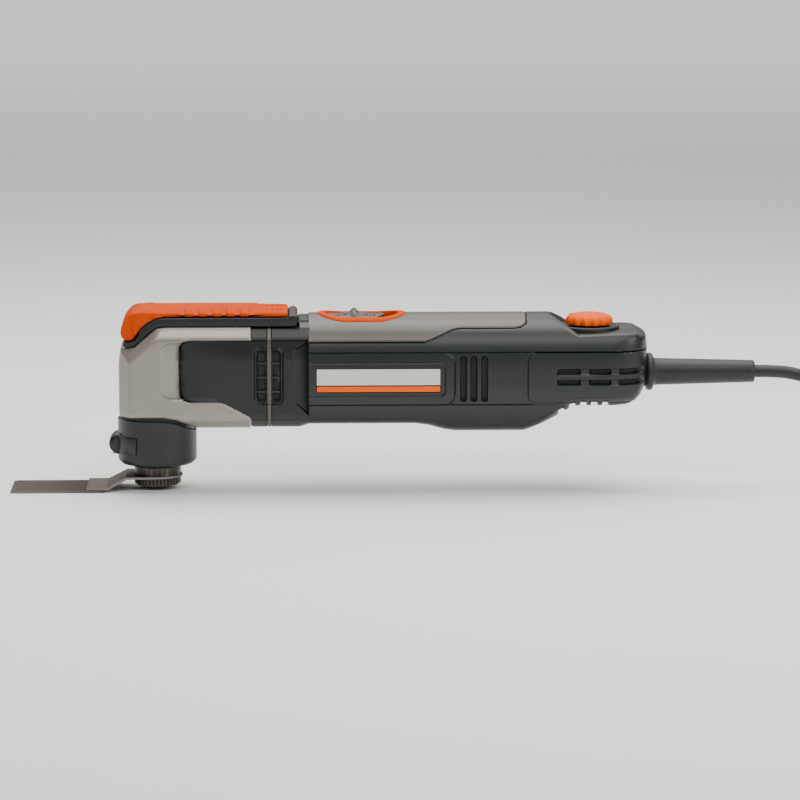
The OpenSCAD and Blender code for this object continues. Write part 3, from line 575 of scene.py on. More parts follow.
HOUSING_ROUNDNESS = 2.7
TAIL_X, TAIL_LENGTH, TAIL_HALF = 232, 40, 36    # the housing's rear end, seen from above
SCOOP_SLOPE = 0.55
BEVEL_X, BEVEL_GROWTH, BEVEL_W = 202, 22, 4.0   # where the rear bevel starts, how soon it is whole, its width
DIAGONAL = 0.707                                # turns a sum of two distances into one across the corner
HALF_UNDER = AXIS_Z - BELLY_Z + 2.2    # half height of the section under the axis, before the belly cuts it
LOW_EDGE = 37.6                        # underside of the grip
CREASE_Z, LOW_LINE = 78.2, 49.3        # lines over and under the side panels
COVER_LINE = 83.8                      # lower edge of the top cover
COVER_END = 202.0
DECK_Z = 87.3                          # floor of the scoop round the speed dial
VENT_X, VENT_W = (165.2, 170.9, 176.7), 3.9
SLOT_Z, SLOT_X = (59.8, 65.8), ((218.1, 231.1), (235.3, 247.8), (251.7, 265.3))
NOTCH_X, NOTCH_PITCH, NOTCH_W, NOTCH_COUNT = 219.1, 5.95, 4.0, 5

HOUSING_SIDE = [
    (76, LOW_EDGE), (141, LOW_EDGE), (149, 36.2), (157, 33.0), (163, BELLY_Z - 0.5), (201, BELLY_Z - 0.5),
    (219, 42.2), (226, 46.4), (230, UNDER_Z - 0.4), (249, UNDER_Z - 0.4), (256, 48.3), (261, 50.2),
    (264.6, 52.8), (266.9, 56), (REAR_X - 1.1, 60), (REAR_X - 0.7, 70), (REAR_X, 78), (REAR_X - 1.2, 86),
    (262, 88.2), (230, 87.0), (216, 96.6), (211, 112), (76, 112)
]
COVER_ZONE = [
    (60, COVER_LINE), (146, COVER_LINE), (150, 85.2), (161, 89.9), (165, 90.7), (195, 90.7), (199, 91.4),
    (201.4, 93), (COVER_END, 96), (COVER_END, 120), (60, 120)
]


def housing_distance(x, y, z):
    """Distance to the motor housing: its section, its outline from the side and its outline from above."""
    half_height = np.where(z > AXIS_Z, GRIP_TOP - AXIS_Z, HALF_UNDER)
    n = HOUSING_ROUNDNESS
    across, up = np.abs(y) / HALF_W, np.abs(z - AXIS_Z) / half_height
    section = (across ** n + up ** n) ** (1 / n) * HALF_W - HALF_W
    side = rounded(HOUSING_SIDE, 2.5)(x, z)
    plan = (np.hypot(np.maximum(x - TAIL_X, 0) / TAIL_LENGTH, np.abs(y) / TAIL_HALF) - 1) * TAIL_HALF
    # the deck behind the grip has crisp edges, and its scoop for the dial opens upwards as a cone
    crisp = np.clip((x - 205) / 10, 0, 1) * np.clip((z - AXIS_Z) / 5, 0, 1)
    body = smooth_max(smooth_max(section, side, 5 - 3.4 * crisp), plan, 6)
    scoop_r = seat_high[1] + 0.5 + SCOOP_SLOPE * (z - DECK_Z)
    scoop = np.minimum(scoop_r - np.hypot(x - DIAL_X, y), z - DECK_Z)
    # the rear underside has a bevel that starts at nothing and widens towards the rear
    width = BEVEL_W * np.clip((x - BEVEL_X) / BEVEL_GROWTH, 0, 1)
    bevel = np.where((z < 60) & (x > BEVEL_X), (side + section) * DIAGONAL + width, -ELSEWHERE)
    return smooth_max(np.maximum(body, scoop), bevel, 0.8)


def housing_details():
    """Panel lines, vents, pockets and seams of the motor housing; vents, slots and notches are shallow
    pockets whose floors take a near-black finish of painted shade.
    """
    inner = 9.0
    label = beyond(inner, box_xz(60, 157.2, 54.4, 72.6, 3.2))
    details = [
        ("groove", beyond(inner, box_xz(60, 162.5, LOW_LINE, CREASE_Z, 6)), 0.6),
        ("groove", label, 0.7),
        ("pocket", label, 0.35),
        ("groove", beyond(inner, box_xz(202.4, 330, LOW_LINE + 0.8, CREASE_Z, 4.5)), 0.6),
        ("groove", beyond(inner, lambda x, z: np.where(x > 158, z - CREASE_Z, ELSEWHERE)), 0.6),
        ("groove", beyond(inner, lambda x, z: np.where((x > 158) & (x < 219), z - LOW_LINE, ELSEWHERE)), 0.6),
        ("groove", beyond(inner, lambda x, z: outline_distance(COVER_ZONE, x, z)), 1.0),
        ("groove", lambda x, y, z: np.where(np.abs(y) <= inner, np.abs(x - COVER_END), ELSEWHERE), 1.0),
        ("pocket", trimmed(inner, box_xz(87.2, 154.9, 56.1, 69.8, 0.4)), 0.6),
        ("groove", lambda x, y, z: np.where((x > COVER_END + 0.4) | (z < 70), y, ELSEWHERE), 0.5),
    ]
    # vents and slots: shallow pockets whose near-black floors are painted shade
    for x in VENT_X:
        details.append(("painted_shade_opening", trimmed(inner, box_xz(x, x + VENT_W, 51.0, 76.5, VENT_W / 2)), 2.4))
    for z in SLOT_Z:
        details.append(("pocket", trimmed(3.0, box_xz(217.4, 266.0, z, z + 3.5, 1.7)), 0.5))
        for x0, x1 in SLOT_X:
            details.append(("painted_shade_opening", trimmed(3.0, box_xz(x0, x1, z + 0.3, z + 3.2, 0.9)), 2.0))
    # notches under the rear: shallow pockets with near-black floors of painted shade
    for i in range(NOTCH_COUNT):
        x = NOTCH_X + NOTCH_PITCH * i
        details.append(("painted_shade_opening", box_xy(0, 60, x, x + NOTCH_W, -25.4, 25.4, 1.9), 1.8))
    half = bezel_high[1] - 3.6
    window = box_xy(88, 120, bezel_low[0] + 3.4, bezel_high[0] - 3.4, -half, half, half)
    details.append(("pocket", window, 7.0))
    return details


def add_housing():
    """Skin of the motor housing: its two halves, the painted-shade floors of their vents, slots and notches,
    and the top cover.
    """
    points, faces, floor = wrap(housing_distance, GRIP_X0 + 0.4, 236.0, AXIS_Z, 290, 372, rear_rows=84,
                                details=housing_details(), grid=0.53, front_lip=True)
    centre = points[faces].mean(1)
    in_cover = (outline_distance(COVER_ZONE, centre[:, 0], centre[:, 2]) < 0) & (centre[:, 2] > 80)
    for side, here in (("left", centre[:, 1] < 0), ("right", centre[:, 1] >= 0)):
        here = here & ~in_cover
        add_piece("housing_shell_" + side, (points, faces[here & ~floor]), "charcoal", "housing_" + side)
        # the floors of the openings get the near-black finish: painted shade for their dark inside
        add_piece("painted_vent_shade_" + side, (points, faces[here & floor]), "painted_shade_finish", "housing_" + side)
    add_piece("top_shell", (points, faces[in_cover]), "cover", "top_cover")


# ---------------------------------------------------------------- gear head and neck

ARM_LOW = 85.0                     # lower edge of the silver arm over the neck housing
INSERT_X = 13.0
INSERT_R = 6
SILVER_END = 51.9
HEAD_TOP = 92.0
INSERT = ([(SILVER_END, 120), (SILVER_END, ARM_LOW)]
          + arc(INSERT_X + INSERT_R, ARM_LOW - INSERT_R, INSERT_R, 90, 180, 8)
          + arc(INSERT_X + INSERT_R, 56.8, INSERT_R, 180, 270, 8)
          + [(34, 50.8), (37.5, 50.0), (SILVER_END - 2, 43.2), (SILVER_END - 0.4, 42.2), (SILVER_END, 41),
             (SILVER_END, 0), (120, 0), (120, 120)])
HEAD_SIDE = [
    (HEAD_FRONT, 44), (-19.6, NOSE_SEAT), (4, NOSE_SEAT), (11, 40.9), (18, 37.2), (21.6, HEAD_BOTTOM),
    (78, HEAD_BOTTOM), (83, 37.4), (95, 37.6), (95, 94.6), (77.6, 94.4), (76.8, HEAD_TOP), (5.4, HEAD_TOP),
    (0.6, 91.2), (-5.2, 86.4), (-11.3, 80.9), (-19.2, 80.2), (HEAD_FRONT, 70)
]
HEAD_SECTION = [
    (-40, HEAD_BOTTOM), (HEAD_HALF - 8.5, HEAD_BOTTOM), (HEAD_HALF - 1.4, 40.2), (HEAD_HALF, 43.6),
    (HEAD_HALF, ARM_LOW - 0.4), (HEAD_HALF - 3.6, 91.6), (HEAD_HALF - 5, 92.6), (HEAD_HALF - 12, 96.5),
    (-40, 99)
]
HEAD_PLAN = [
    (HEAD_FRONT, -40), (110, -40), (110, HEAD_HALF), (-11.5, HEAD_HALF), (-14.2, HEAD_HALF - 0.6),
    (HEAD_FRONT + 0.9, 15.5), (HEAD_FRONT, 12.5)
]
NECK_FACET = [(74.6, 51.8), (86, 40.6), (86, 86.6), (74.6, 78.6)]


def head_distance(x, y, z):
    """Distance to the gear head and the neck behind it."""
    side = rounded(HEAD_SIDE, 1.2)(x, z)
    section = rounded(HEAD_SECTION, 1.6)(np.abs(y), z)
    plan = rounded(HEAD_PLAN, 1.2)(x, np.abs(y))
    # flat bevel along the sloping front edge of the sides
    slope = 0.756 * (z - 80.9) - 0.655 * (x + 11.3)
    bevel = (slope + np.abs(y) - HEAD_HALF) * DIAGONAL + 3.0
    return smooth_max(smooth_max(smooth_max(section, side, 2.0), plan, 1.6), bevel, 1.0)


def insert_depth(x, y, z):
    """Depth of the dark insert, which grows towards its front wall and under the silver arm."""
    front = 3.3 * np.clip((27 - x) / 14, 0, 1) ** 1.5
    under_arm = 1.5 * np.clip((z - 73) / 11, 0, 1) ** 2 * np.clip((x - 16) / 26, 0, 1)
    return 0.7 + front + under_arm * np.where(z < ARM_LOW, 1, 0)


def recess_depth(x, y, z):
    """Depth of the shallow recess in the silver cover, which grows towards the insert."""
    return np.where(outline_distance(INSERT, x, z) > 0, 0.2 + np.clip(x - 2.6, 0, 12) * 0.33, 0.0)


def facet_depth(x, y, z):
    """Depth of the facet at the end of the neck."""
    return np.clip((x - 74.0) * 0.24, 0, 2.4)


def window_depth(x, y, z):
    """Depth of the vent window, which the seam ring crosses."""
    return np.where((x > SEAM_X0 - 0.3) & (x < SEAM_X1 + 0.3), 0.0, 1.1)


def head_details():
    """Recesses, vents with painted-shade floors, and seams of the gear head and the neck."""
    inner = 14
    x0, x1, z0, z1 = 53.7, 69.2, 49.6, 80.6    # vent window
    frame_w = 1.4
    details = [
        ("groove", lambda x, y, z: outline_distance(INSERT, x, z), 0.9),
        ("pocket", beyond(inner, lambda x, z: outline_distance(INSERT, x, z)), insert_depth),
        ("pocket", beyond(inner, box_xz(2.6, 40, 52.4, 83.8, 6.5)), recess_depth),
        ("pocket", beyond(inner, lambda x, z: outline_distance(NECK_FACET, x, z)), facet_depth),
        ("groove", beyond(inner, box_xz(x0, x1, z0, z1, 3.6)), 0.5),
        ("pocket", beyond(inner, box_xz(x0 + 1, x1 - 1, z0 + 1, z1 - 1, 2.8)), window_depth),
        ("groove", lambda x, y, z: np.minimum(np.abs(x - SEAM_X0), np.abs(x - SEAM_X1)), 0.5),
        ("groove", lambda x, y, z: np.where((z < 60) | (x > 77), y, ELSEWHERE), 0.35),
    ]
    levels = (z0 + frame_w, 56.5, 64.3, 72.1, z1 - frame_w)
    # slots of the vent window: shallow pockets whose near-black floors are painted shade
    for left, right in ((x0 + frame_w, SEAM_X0 - 0.7), (SEAM_X1 + 0.7, x1 - frame_w)):
        for low, high in zip(levels[:-1], levels[1:]):
            details.append(("painted_shade_opening", beyond(inner, box_xz(left, right, low + 0.5, high - 0.5, 0.6)), 1.3))
    return details


def insert_edge(x):
    """Distance from the insert's outline where the dark part ends, so that its front wall is all dark."""
    return np.where(x < INSERT_X + 1.5, 0.3, 0)


def straighten(points, border):
    """Puts border vertices along the insert's front wall on one line and evens out their depth."""
    border = border[points[border, 0] < INSERT_X + 2]
    x, z, step = points[border, 0], points[border, 2], 0.05
    away = outline_distance(INSERT, x, z)
    slope = np.stack([outline_distance(INSERT, x + step, z), outline_distance(INSERT, x, z + step)]) - away
    slope /= np.maximum(np.hypot(*slope), 1e-6)
    move = np.clip(away - insert_edge(x), -0.4, 0.4)
    points[border, 0] -= move * slope[0]
    points[border, 2] -= move * slope[1]
    x, y, z = points[border].T
    near = np.exp(-((x[:, None] - x) ** 2 + (z[:, None] - z) ** 2) / 0.8) * (y[:, None] * y > 0)
    points[border, 1] = near @ y / near.sum(1)


def add_head():
    """Skin of the gear head, divided into silver covers, dark neck housing, the painted-shade floors of the
    neck's vents and the seam ring.
    """
    points, faces, floor = wrap(head_distance, 0.0, NECK_END + 0.6, 64.0, 187, 392, front_rows=86,
                                details=head_details(), grid=0.5, rear_lip=True)
    centre = points[faces].mean(1)
    over_nose = (centre[:, 2] < 46) & (np.hypot(centre[:, 0], centre[:, 1]) < NOSE_R - 3.5)
    dark = outline_distance(INSERT, centre[:, 0], centre[:, 2]) < insert_edge(centre[:, 0])
    straighten(points, np.intersect1d(faces[dark], faces[~dark]))
    ring = dark & (centre[:, 0] > SEAM_X0) & (centre[:, 0] < SEAM_X1)
    silver, neck = ~dark & ~over_nose & ~floor, dark & ~ring
    halves = (("left", centre[:, 1] < 0), ("right", centre[:, 1] >= 0))
    for side, here in halves:
        shape = points, faces[silver & here]
        add_piece("head_shell_" + side, shape, "silver", "head_cover_" + side, sharp=32)
    for side, here in halves:
        housing = "neck_housing_" + side
        skin, vent = (points, faces[neck & here & ~floor]), (points, faces[neck & here & floor])
        add_piece("neck_shell_" + side, skin, "dark", housing, sharp=32)
        # floors of the vent slots take the near-black finish: painted shade
        add_piece("neck_painted_vent_shade_" + side, vent, "painted_shade_finish", housing)
    add_piece("seam_band", (points, faces[ring]), "cover", "seam_ring", sharp=32)


# ---------------------------------------------------------------- clamp springs


def add_springs():
    """Disc springs under the head of the clamp bolt."""
    low, high = box_mm("disc_springs")
    height = high[2] - low[2]
    bore, rim = 3.7, high[0]
    count, cone, thick, travel = 4, 1.2, 0.9, 2.4
    discs = []
    for i in range(count):
        z = low[2] + (height - cone - thick) / (count - 1) * i
        first, last = (z, z + cone) if i % 2 == 0 else (z + cone, z)
        profile = [(bore, first), (rim, last), (rim, last + thick), (bore, first + thick)]
        discs.append(lathe(profile, 64, loop=True))
    stack = add_piece("spring_stack", joined(discs), "steel", "disc_springs", "clamp_group", closed=True)
    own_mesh(stack)


# ---------------------------------------------------------------- nose


def seat_height(x):
    """Height of the nose collar's top edge."""
    return float(np.interp(x, [-30, 4, 11, 18, 21.6], [NOSE_SEAT, NOSE_SEAT, 40.9, 37.2, HEAD_BOTTOM])) - 0.5


def add_nose():
    """Nose collar, whose top edge follows the gear head, and the hood of the work light."""
    wall = [(14.6, NOSE_Z0 + 1.6), (14.6, NOSE_Z0 + 0.2), (15.0, NOSE_Z0), (NOSE_R - 2.6, NOSE_Z0),
            (NOSE_R - 2.0, NOSE_Z0 + 0.15), (NOSE_R - 0.35, NOSE_Z0 + 1.7), (NOSE_R, NOSE_Z0 + 2.5),
            (NOSE_R, 18), (NOSE_R, 24), (NOSE_R, 30)]
    edge = [(NOSE_R, -2.4), (NOSE_R - 0.4, -2.0), (NOSE_R - 1.3, -2.0), (NOSE_R - 1.5, 0.6)]
    turns = 180
    circle = [(math.cos(2 * math.pi * k / turns), math.sin(2 * math.pi * k / turns)) for k in range(turns)]
    rings = [[(r * c, r * s, z) for c, s in circle] for r, z in wall]
    rings += [[(r * c, r * s, seat_height(r * c) + lift) for c, s in circle] for r, lift in edge]
    add_piece("nose_ring", loft(rings), "charcoal", "nose_collar", sharp=30)

    # the light's hood: a band round the front of the collar, with a snout
    inside, outside, low, high = NOSE_R - 0.2, NOSE_R + 1.3, 21.0, 30.4
    profile = [(inside, low), (outside, low), (outside, high), (inside, high)]
    rings = [[(r * c, r * s, z) for r, z in profile] for c, s in arc(0, 0, 1, 120, 240, 60)]
    band = add_piece("hood_band", loft(rings, caps=True), "charcoal", "light_hood", closed=True)
    soften(band, 0.9)
    radius, snout_z = 5.7, 25.6
    outline = arc(box_mm("light_hood")[0][0] + radius, snout_z, radius, 90, 270, 20)
    outline += [(-17.5, snout_z - radius), (-17.5, snout_z + radius)]
    snout = add_piece("hood_snout", slab(outline, (-8.6, 8.6)), "charcoal", "light_hood", closed=True)
    soften(snout, 2.4, 5)


# ---------------------------------------------------------------- lever and tray

HINGE = (-14.5, 88.5)
LEVER_BOTTOM, LEVER_HALF = 97.0, 18.5
LEVER_SIDE = (arc(*HINGE, 4.5, 300, 180, 10) + arc(-5.5, 88, 13.5, 168, 90, 16)
              + [(x, LEVER_TOP) for x in (10, 12.9, 15.1, 30, 52.6)]
              + [(54.4, LEVER_TOP - 0.3), (58.2, 99.9), (60.2, 99.6), (70.4, 99.6), (71.9, 98.7),
                 (72, LEVER_BOTTOM), (5, LEVER_BOTTOM), (0, 96.4), (-5, 93.7), (-8, 91.2)])
TRAY_SIDE = [
    (-17.5, 81.3), (-14, 80.9), (-11.6, 81.3), (-8.6, 83.9), (-5.5, 86.8), (-2.4, 89.5), (0.8, 91.6),
    (4, 92.05), (30, 92.05), (60, 92.05), (74.0, 92.05), (76.2, 92.6), (77.2, 93.9), (77.2, 96.2),
    (76.4, 97.5), (75, 98.0), (73.4, 97.8), (72.5, 97.0), (72.3, 96.6), (60, 96.55), (30, 96.55), (5, 96.5),
    (0, 95.9), (-5.2, 93.0), (-8.5, 90.2), (-9.5, 86.8), (-11.3, 84.5), (-14.2, 83.4), (-17.5, 83.2)
]


def lever_crown(y):
    """Height of the lever's crowned top at a distance y from the mid plane."""
    return LEVER_TOP - 2.6 * (abs(y) / LEVER_HALF) ** 3


def lever_cap(x, y):
    """The crown, lowered along both edges where the pads stand."""
    along = min(1, max(0, (x - 13.0) / 2), max(0, (55.0 - x) / 2))
    across = min(1, max(0, (abs(y) - 10.0) / 3))
    return lever_crown(y) - 0.85 * min(along, across)


def boss_cap(x, y):
    """The lever's crown raised a little, where its round bosses stand."""
    return min(LEVER_TOP - 0.1, lever_crown(y) + 0.8)


def add_lever():
    """Clamp lever with pads along its edges, round bosses at its nose and studs at its tip."""
    # all the lever's pieces take the darker copy of the orange: painted shade against the top light on the
    # lever
    shape = slab(LEVER_SIDE, np.linspace(-LEVER_HALF, LEVER_HALF, 49), lever_cap)
    lever = add_piece("lever_body", shape, "lever", "clamp_lever", "lever", sharp=60, closed=True)
    soften(lever, 1.0, 4, angle=40, sharp=60)

    pad_x, pad_w, pitch, count = 16.3, 4.65, 7.45, 5
    inner, foot, lift = 10.5, 97.3, 0.2
    edge = lever_crown(LEVER_HALF)
    ring = [(y, lever_crown(y) + lift * min(1, (y - inner) / 4))
            for y in np.linspace(inner, LEVER_HALF - 0.3, 12)]
    ring += [(LEVER_HALF + lift, edge - 0.1), (LEVER_HALF + lift, foot), (LEVER_HALF - 1, foot),
             (LEVER_HALF - 1, edge - 1), (inner, lever_crown(inner) - 1)]
    pads = []
    for side in (-1, 1):
        for i in range(count):
            x = pad_x + pitch * i
            pads.append(loft([[(a, side * y, z) for y, z in ring] for a in (x, x + pad_w)], caps=True))
    pads = add_piece("lever_pads", joined(pads), "lever", "clamp_lever", "lever", closed=True)
    soften(pads, 0.3, 2)

    # round boss on each side, held just above the crown and cut off where the lever ends at the tray
    boss = [(x, z) for x, z in arc(-4, 92.2, 8.6, -28, 212, 60) if z > LEVER_BOTTOM or x < -4]
    boss += [(-10.6, 87.3), (-8, 91.0), (-5, 93.6), (0, 96.4), (3.6, LEVER_BOTTOM)]
    across = np.linspace(12, LEVER_HALF + 0.8, 12)
    cheeks = joined([slab(boss, side * across, boss_cap) for side in (-1, 1)])
    cheeks = add_piece("lever_cheeks", cheeks, "lever", "clamp_lever", "lever", closed=True)
    soften(cheeks, 0.25, 2)

    stud = [(0.01, 100.1), (0.5, 100.05), (0.7, 99.85), (0.7, 99.0)]
    studs = [lathe(stud, 20, centre=(x, y)) for x in (60.6, 63.6, 66.6, 68.4) for y in (-9, 9)]
    add_piece("lever_studs", joined(studs), "lever", "clamp_lever", "lever")


def add_tray():
    """Tray under the lever, with hinge lugs inside the lever's nose."""
    tray = add_piece("tray_body", slab(TRAY_SIDE, (-20.6, 20.6)), "black", "lever_tray", closed=True)
    soften(tray, 1.3, 4, angle=40)
    half, foot = 2.4, 82
    lug = arc(*HINGE, 2.9, 0, 180, 12) + [(HINGE[0] - half, foot), (HINGE[0] + half, foot)]
    lugs = joined([slab(lug, (y - half, y + half)) for y in (-8, 8)])
    add_piece("hinge_lugs", lugs, "black", "lever_tray", closed=True)


# ---------------------------------------------------------------- switch


def crest_height(y):
    """Height of the housing's crest at a distance y from the mid plane."""
    n = HOUSING_ROUNDNESS
    return AXIS_Z + (GRIP_TOP - AXIS_Z) * (1 - (abs(y) / HALF_W) ** n) ** (1 / n)


def oval_point(t, x0, x1, half):
    """Point and outward direction at share t round an oval with round ends."""
    straight = x1 - x0 - 2 * half
    s = t * (2 * straight + 2 * math.pi * half)
    if s < straight:
        return x0 + half + s, -half, (0, -1)
    s -= straight
    if s < math.pi * half:
        a = s / half - math.pi / 2
        return x1 - half + half * math.cos(a), half * math.sin(a), (math.cos(a), math.sin(a))
    s -= math.pi * half
    if s < straight:
        return x1 - half - s, half, (0, 1)
    a = (s - straight) / half + math.pi / 2
    return x0 + half + half * math.cos(a), half * math.sin(a), (math.cos(a), math.sin(a))


def add_bezel():
    """Frame round the switch, which follows the crest of the housing."""
    band, steps = 4.2, 160
    section = [(-0.5, -2.4), (-0.5, 0.15), (-0.42, 0.62), (-0.22, 0.88), (0, 0.95), (0.22, 0.88),
               (0.42, 0.62), (0.5, 0.15), (0.5, -2.4)]
    x0, x1, half = bezel_low[0] + band / 2, bezel_high[0] - band / 2, bezel_high[1] - band / 2
    rings = []
    for i in range(steps):
        x, y, (nx, ny) = oval_point(i / steps, x0, x1, half)
        ring = [(x + nx * across * band, y + ny * across * band, up) for across, up in section]
        rings.append([(px, py, crest_height(py) + up) for px, py, up in ring])
    # the switch frame takes the darker copy of the orange: painted shade against the top light on it
    add_piece("switch_frame", loft(rings, loop=True), "lever", "switch_bezel", sharp=60)


def add_slider():
    """Slider with a ridge across its middle and two pairs of dents on each side of the ridge."""
    length, half = slider_high[0] - slider_low[0], (slider_high[1] - slider_low[1]) / 2
    middle = slider_low[0] + length / 2
    ridge_x = middle - 1
    round_r, foot = 30.3, 91.2
    dent_x, dent_y, dent_r = (-8.8, -5.2, 6.3, 10.0), 4.2, 1.5
    rows, columns = 120, 48
    points = []
    for i in range(rows + 1):
        x = slider_low[0] + length * i / rows
        round_end = max(abs(x - middle) - length / 2 + half, 0) / half
        reach = max(half * math.sqrt(max(0.0, 1 - round_end ** 2)), 0.2)
        near = abs(x - ridge_x)
        peak = 1.9 * math.exp(-(near / 1.9) ** 2) + 1.2 * math.exp(-(near / 4.6) ** 2)
        for j in range(columns + 1):
            share = -1 + 2 * j / columns
            y = reach * math.sin(share * math.pi / 2)
            z = AXIS_Z + math.sqrt(round_r ** 2 - y * y)
            z += peak * max(0, 1 - (abs(y) / (half + 0.5)) ** 4)
            for dent in dent_x:
                away = math.hypot(x - ridge_x - dent, abs(y) - dent_y)
                z -= dent_r * max(0, 1 - (away / dent_r) ** 4)
            edge = max(0, abs(share) - 0.86) / 0.14
            z -= 0.9 * edge * edge
            points.append((x, y, z))
    w = columns + 1
    faces = [(i * w + j, (i + 1) * w + j, (i + 1) * w + j + 1, i * w + j + 1)
             for i in range(rows) for j in range(columns)]
    # skirt from the rim down to the foot
    rim = ([i * w for i in range(rows + 1)] + [rows * w + j for j in range(1, w)]
           + [i * w + columns for i in range(rows - 1, -1, -1)] + list(range(columns - 1, 0, -1)))
    base, n = len(points), len(rim)
    points += [(*points[k][:2], foot) for k in rim]
    faces += [(rim[k], base + k, base + (k + 1) % n, rim[(k + 1) % n]) for k in range(n)]
    add_piece("slider_cap", (points, faces), "slider", "switch_slider", "slider", sharp=45)


# ---------------------------------------------------------------- dial


def add_dial():
    """Lobed speed dial with a pointer, and the ring it sits in."""
    lobes, lobe_depth, core_r = 14, 1.5, 7.2
    low, top = dial_high[2] - 5.9, dial_high[2]

    def lobed(r, a):
        share = max(0.0, min(1.0, (r - core_r) / (DIAL_R - core_r)))
        return r - lobe_depth * share * (0.5 - 0.5 * math.cos(lobes * a)) ** 1.5

    shoulder = [(0.2, 2.7), (0.9, 1.7), (2.0, 1.0), (3.4, 0.45), (4.8, 0.1), (6.2, 0), (6.8, 0.15),
                (7.2, 0.6), (8, 0.7)]
    profile = [(3, low), (DIAL_R - 1.2, low), (DIAL_R - 0.3, low + 0.25), (DIAL_R, low + 0.9),
               (DIAL_R, low + 2.2)]
    profile += [(DIAL_R - inwards, top - down) for inwards, down in shoulder]
    profile.append((0.02, top - 0.7))
    add_piece("dial_knob", lathe(profile, 252, lobed, (DIAL_X, 0)), "orange", "speed_dial", "dial", sharp=60)

    arrow = [(DIAL_X - 11.0, 0.0), (DIAL_X - 7.0, -1.3), (DIAL_X - 7.0, 1.3)]
    shape = loft([[(x, y, z) for x, y in arrow] for z in (top - 0.6, top)], caps=True)
    pointer = add_piece("dial_pointer", shape, "orange", "speed_dial", "dial", closed=True)
    soften(pointer, 0.25, 2)

    r, base, rim = seat_high[1], seat_low[2] - 0.6, seat_high[2]
    profile = [(r, base), (r, rim - 0.9), (r - 0.35, rim - 0.3), (r - 1.0, rim), (r - 1.8, rim - 0.15),
               (r - 2.4, rim - 0.9), (6.5, rim - 0.9)]
    add_piece("dial_ring", lathe(profile, 120, centre=(DIAL_X, 0)), "black", "dial_seat", sharp=50)


# ---------------------------------------------------------------- name plates

PLATE_SINK, PLATE_BACK = 0.25, 0.9      # how far a plate's face and its back lie under the housing's side


def side_width(z):
    """Half width of the housing at a height."""
    n = HOUSING_ROUNDNESS
    half_height = GRIP_TOP - AXIS_Z if z > AXIS_Z else HALF_UNDER
    return HALF_W * (1 - (abs(z - AXIS_Z) / half_height) ** n) ** (1 / n)


def plates(first, last):
    """A plate on each side over a share of the badge's height, following the side of the housing."""
    low, high = box_mm("badges")
    x0, x1, z0, z1 = low[0], high[0], low[2] + 0.5, high[2] - 0.2
    parts = []
    for side in (-1, 1):
        rings = []
        for z in np.linspace(z0 + (z1 - z0) * first, z0 + (z1 - z0) * last, 14):
            face, back = side * (side_width(z) - PLATE_SINK), side * (side_width(z) - PLATE_BACK)
            rings.append([(x0, face, z), (x1, face, z), (x1, back, z), (x0, back, z)])
        parts.append(loft(rings, caps=True))
    return joined(parts)


def add_badges():
    """A plain plate on each side: a pale field over a coloured bar, with no lettering."""
    bar, gap = 0.24, 0.06      # shares of the height taken by the coloured bar and the gap above it
    add_piece("badge_field", plates(bar + gap, 1), "badge_light", "badges", closed=True)
    add_piece("badge_bar", plates(0, bar), "badge_colour", "badges", closed=True)


# ---------------------------------------------------------------- lead

HANK_RUN = 120.0
FOLD_R = 3 * CORD_D
HANK_X = BOOT_END + 110
HANK_END = HANK_X + HANK_RUN
HANK_LAYERS = 3
FLOOR_LINE = CORD_D / 2 * MM       # centre of a lead that lies on the floor
PLUG_X, PLUG_Y, PLUG_Z = HANK_END + 44, -12.0, 14.0
LEAD_POINTS = [(BOOT_END + x, y, z) for x, y, z in (
    (0, 0, CORD_Z), (10, 0, 63.3), (20, 0, 62.3), (30, -0.5, 59.5), (40, -1.5, 54.5), (50, -3.5, 47.5),
    (60, -6, 40), (70, -9, 33.5), (81, -12.5, 28.5), (93, -16, 25.2), (106, -19, 22), (120, -21, 19),
    (134, -21, 17.5))]
TAIL_POINTS = [(HANK_END + x, y, z) for x, y, z in (
    (-6, -4 * CORD_D, 3.5), (4, -27.8, 3.7), (14, -25.5, 5), (24, -20.5, 8), (34, -15, 11.6),
    (44, PLUG_Y, PLUG_Z))]


def eased(share):
    """A share from 0 to 1 that starts and stops gently."""
    return share * share * (3 - 2 * share)


def hank_points():
    """Centre line of the lead through its hank: two lanes beside each other on three layers."""
    inner, outer = FOLD_R, FOLD_R + CORD_D
    top = (HANK_LAYERS - 0.5) * CORD_D
    lanes = [(inner, top), (outer, top), (outer, top - CORD_D), (inner, top - CORD_D),
             (inner, top - 2 * CORD_D), (outer, top - 2 * CORD_D)]
    fold_steps = 8
    points = []
    for turn, (r, z) in enumerate(lanes):
        for share in ((0.45, 0.8) if turn == 0 else (0.1, 0.4, 0.75)):
            points.append((HANK_X + HANK_RUN * share, -r, z))
        if turn == len(lanes) - 1:
            break
        points += [(x, y, z) for x, y in arc(HANK_END, 0, r, -90, 90, fold_steps)]
        points += [(HANK_X + HANK_RUN * share, r, z) for share in (0.75, 0.5, 0.25)]
        next_r, next_z = lanes[turn + 1]
        for k in range(fold_steps + 1):
            share = k / fold_steps
            a = math.radians(90 + 180 * share)
            rr = r + (next_r - r) * eased(min(1, share * 2))
            points.append((HANK_X + rr * math.cos(a), rr * math.sin(a),
                           z + (next_z - z) * eased(max(0, share * 2 - 1))))
    return points


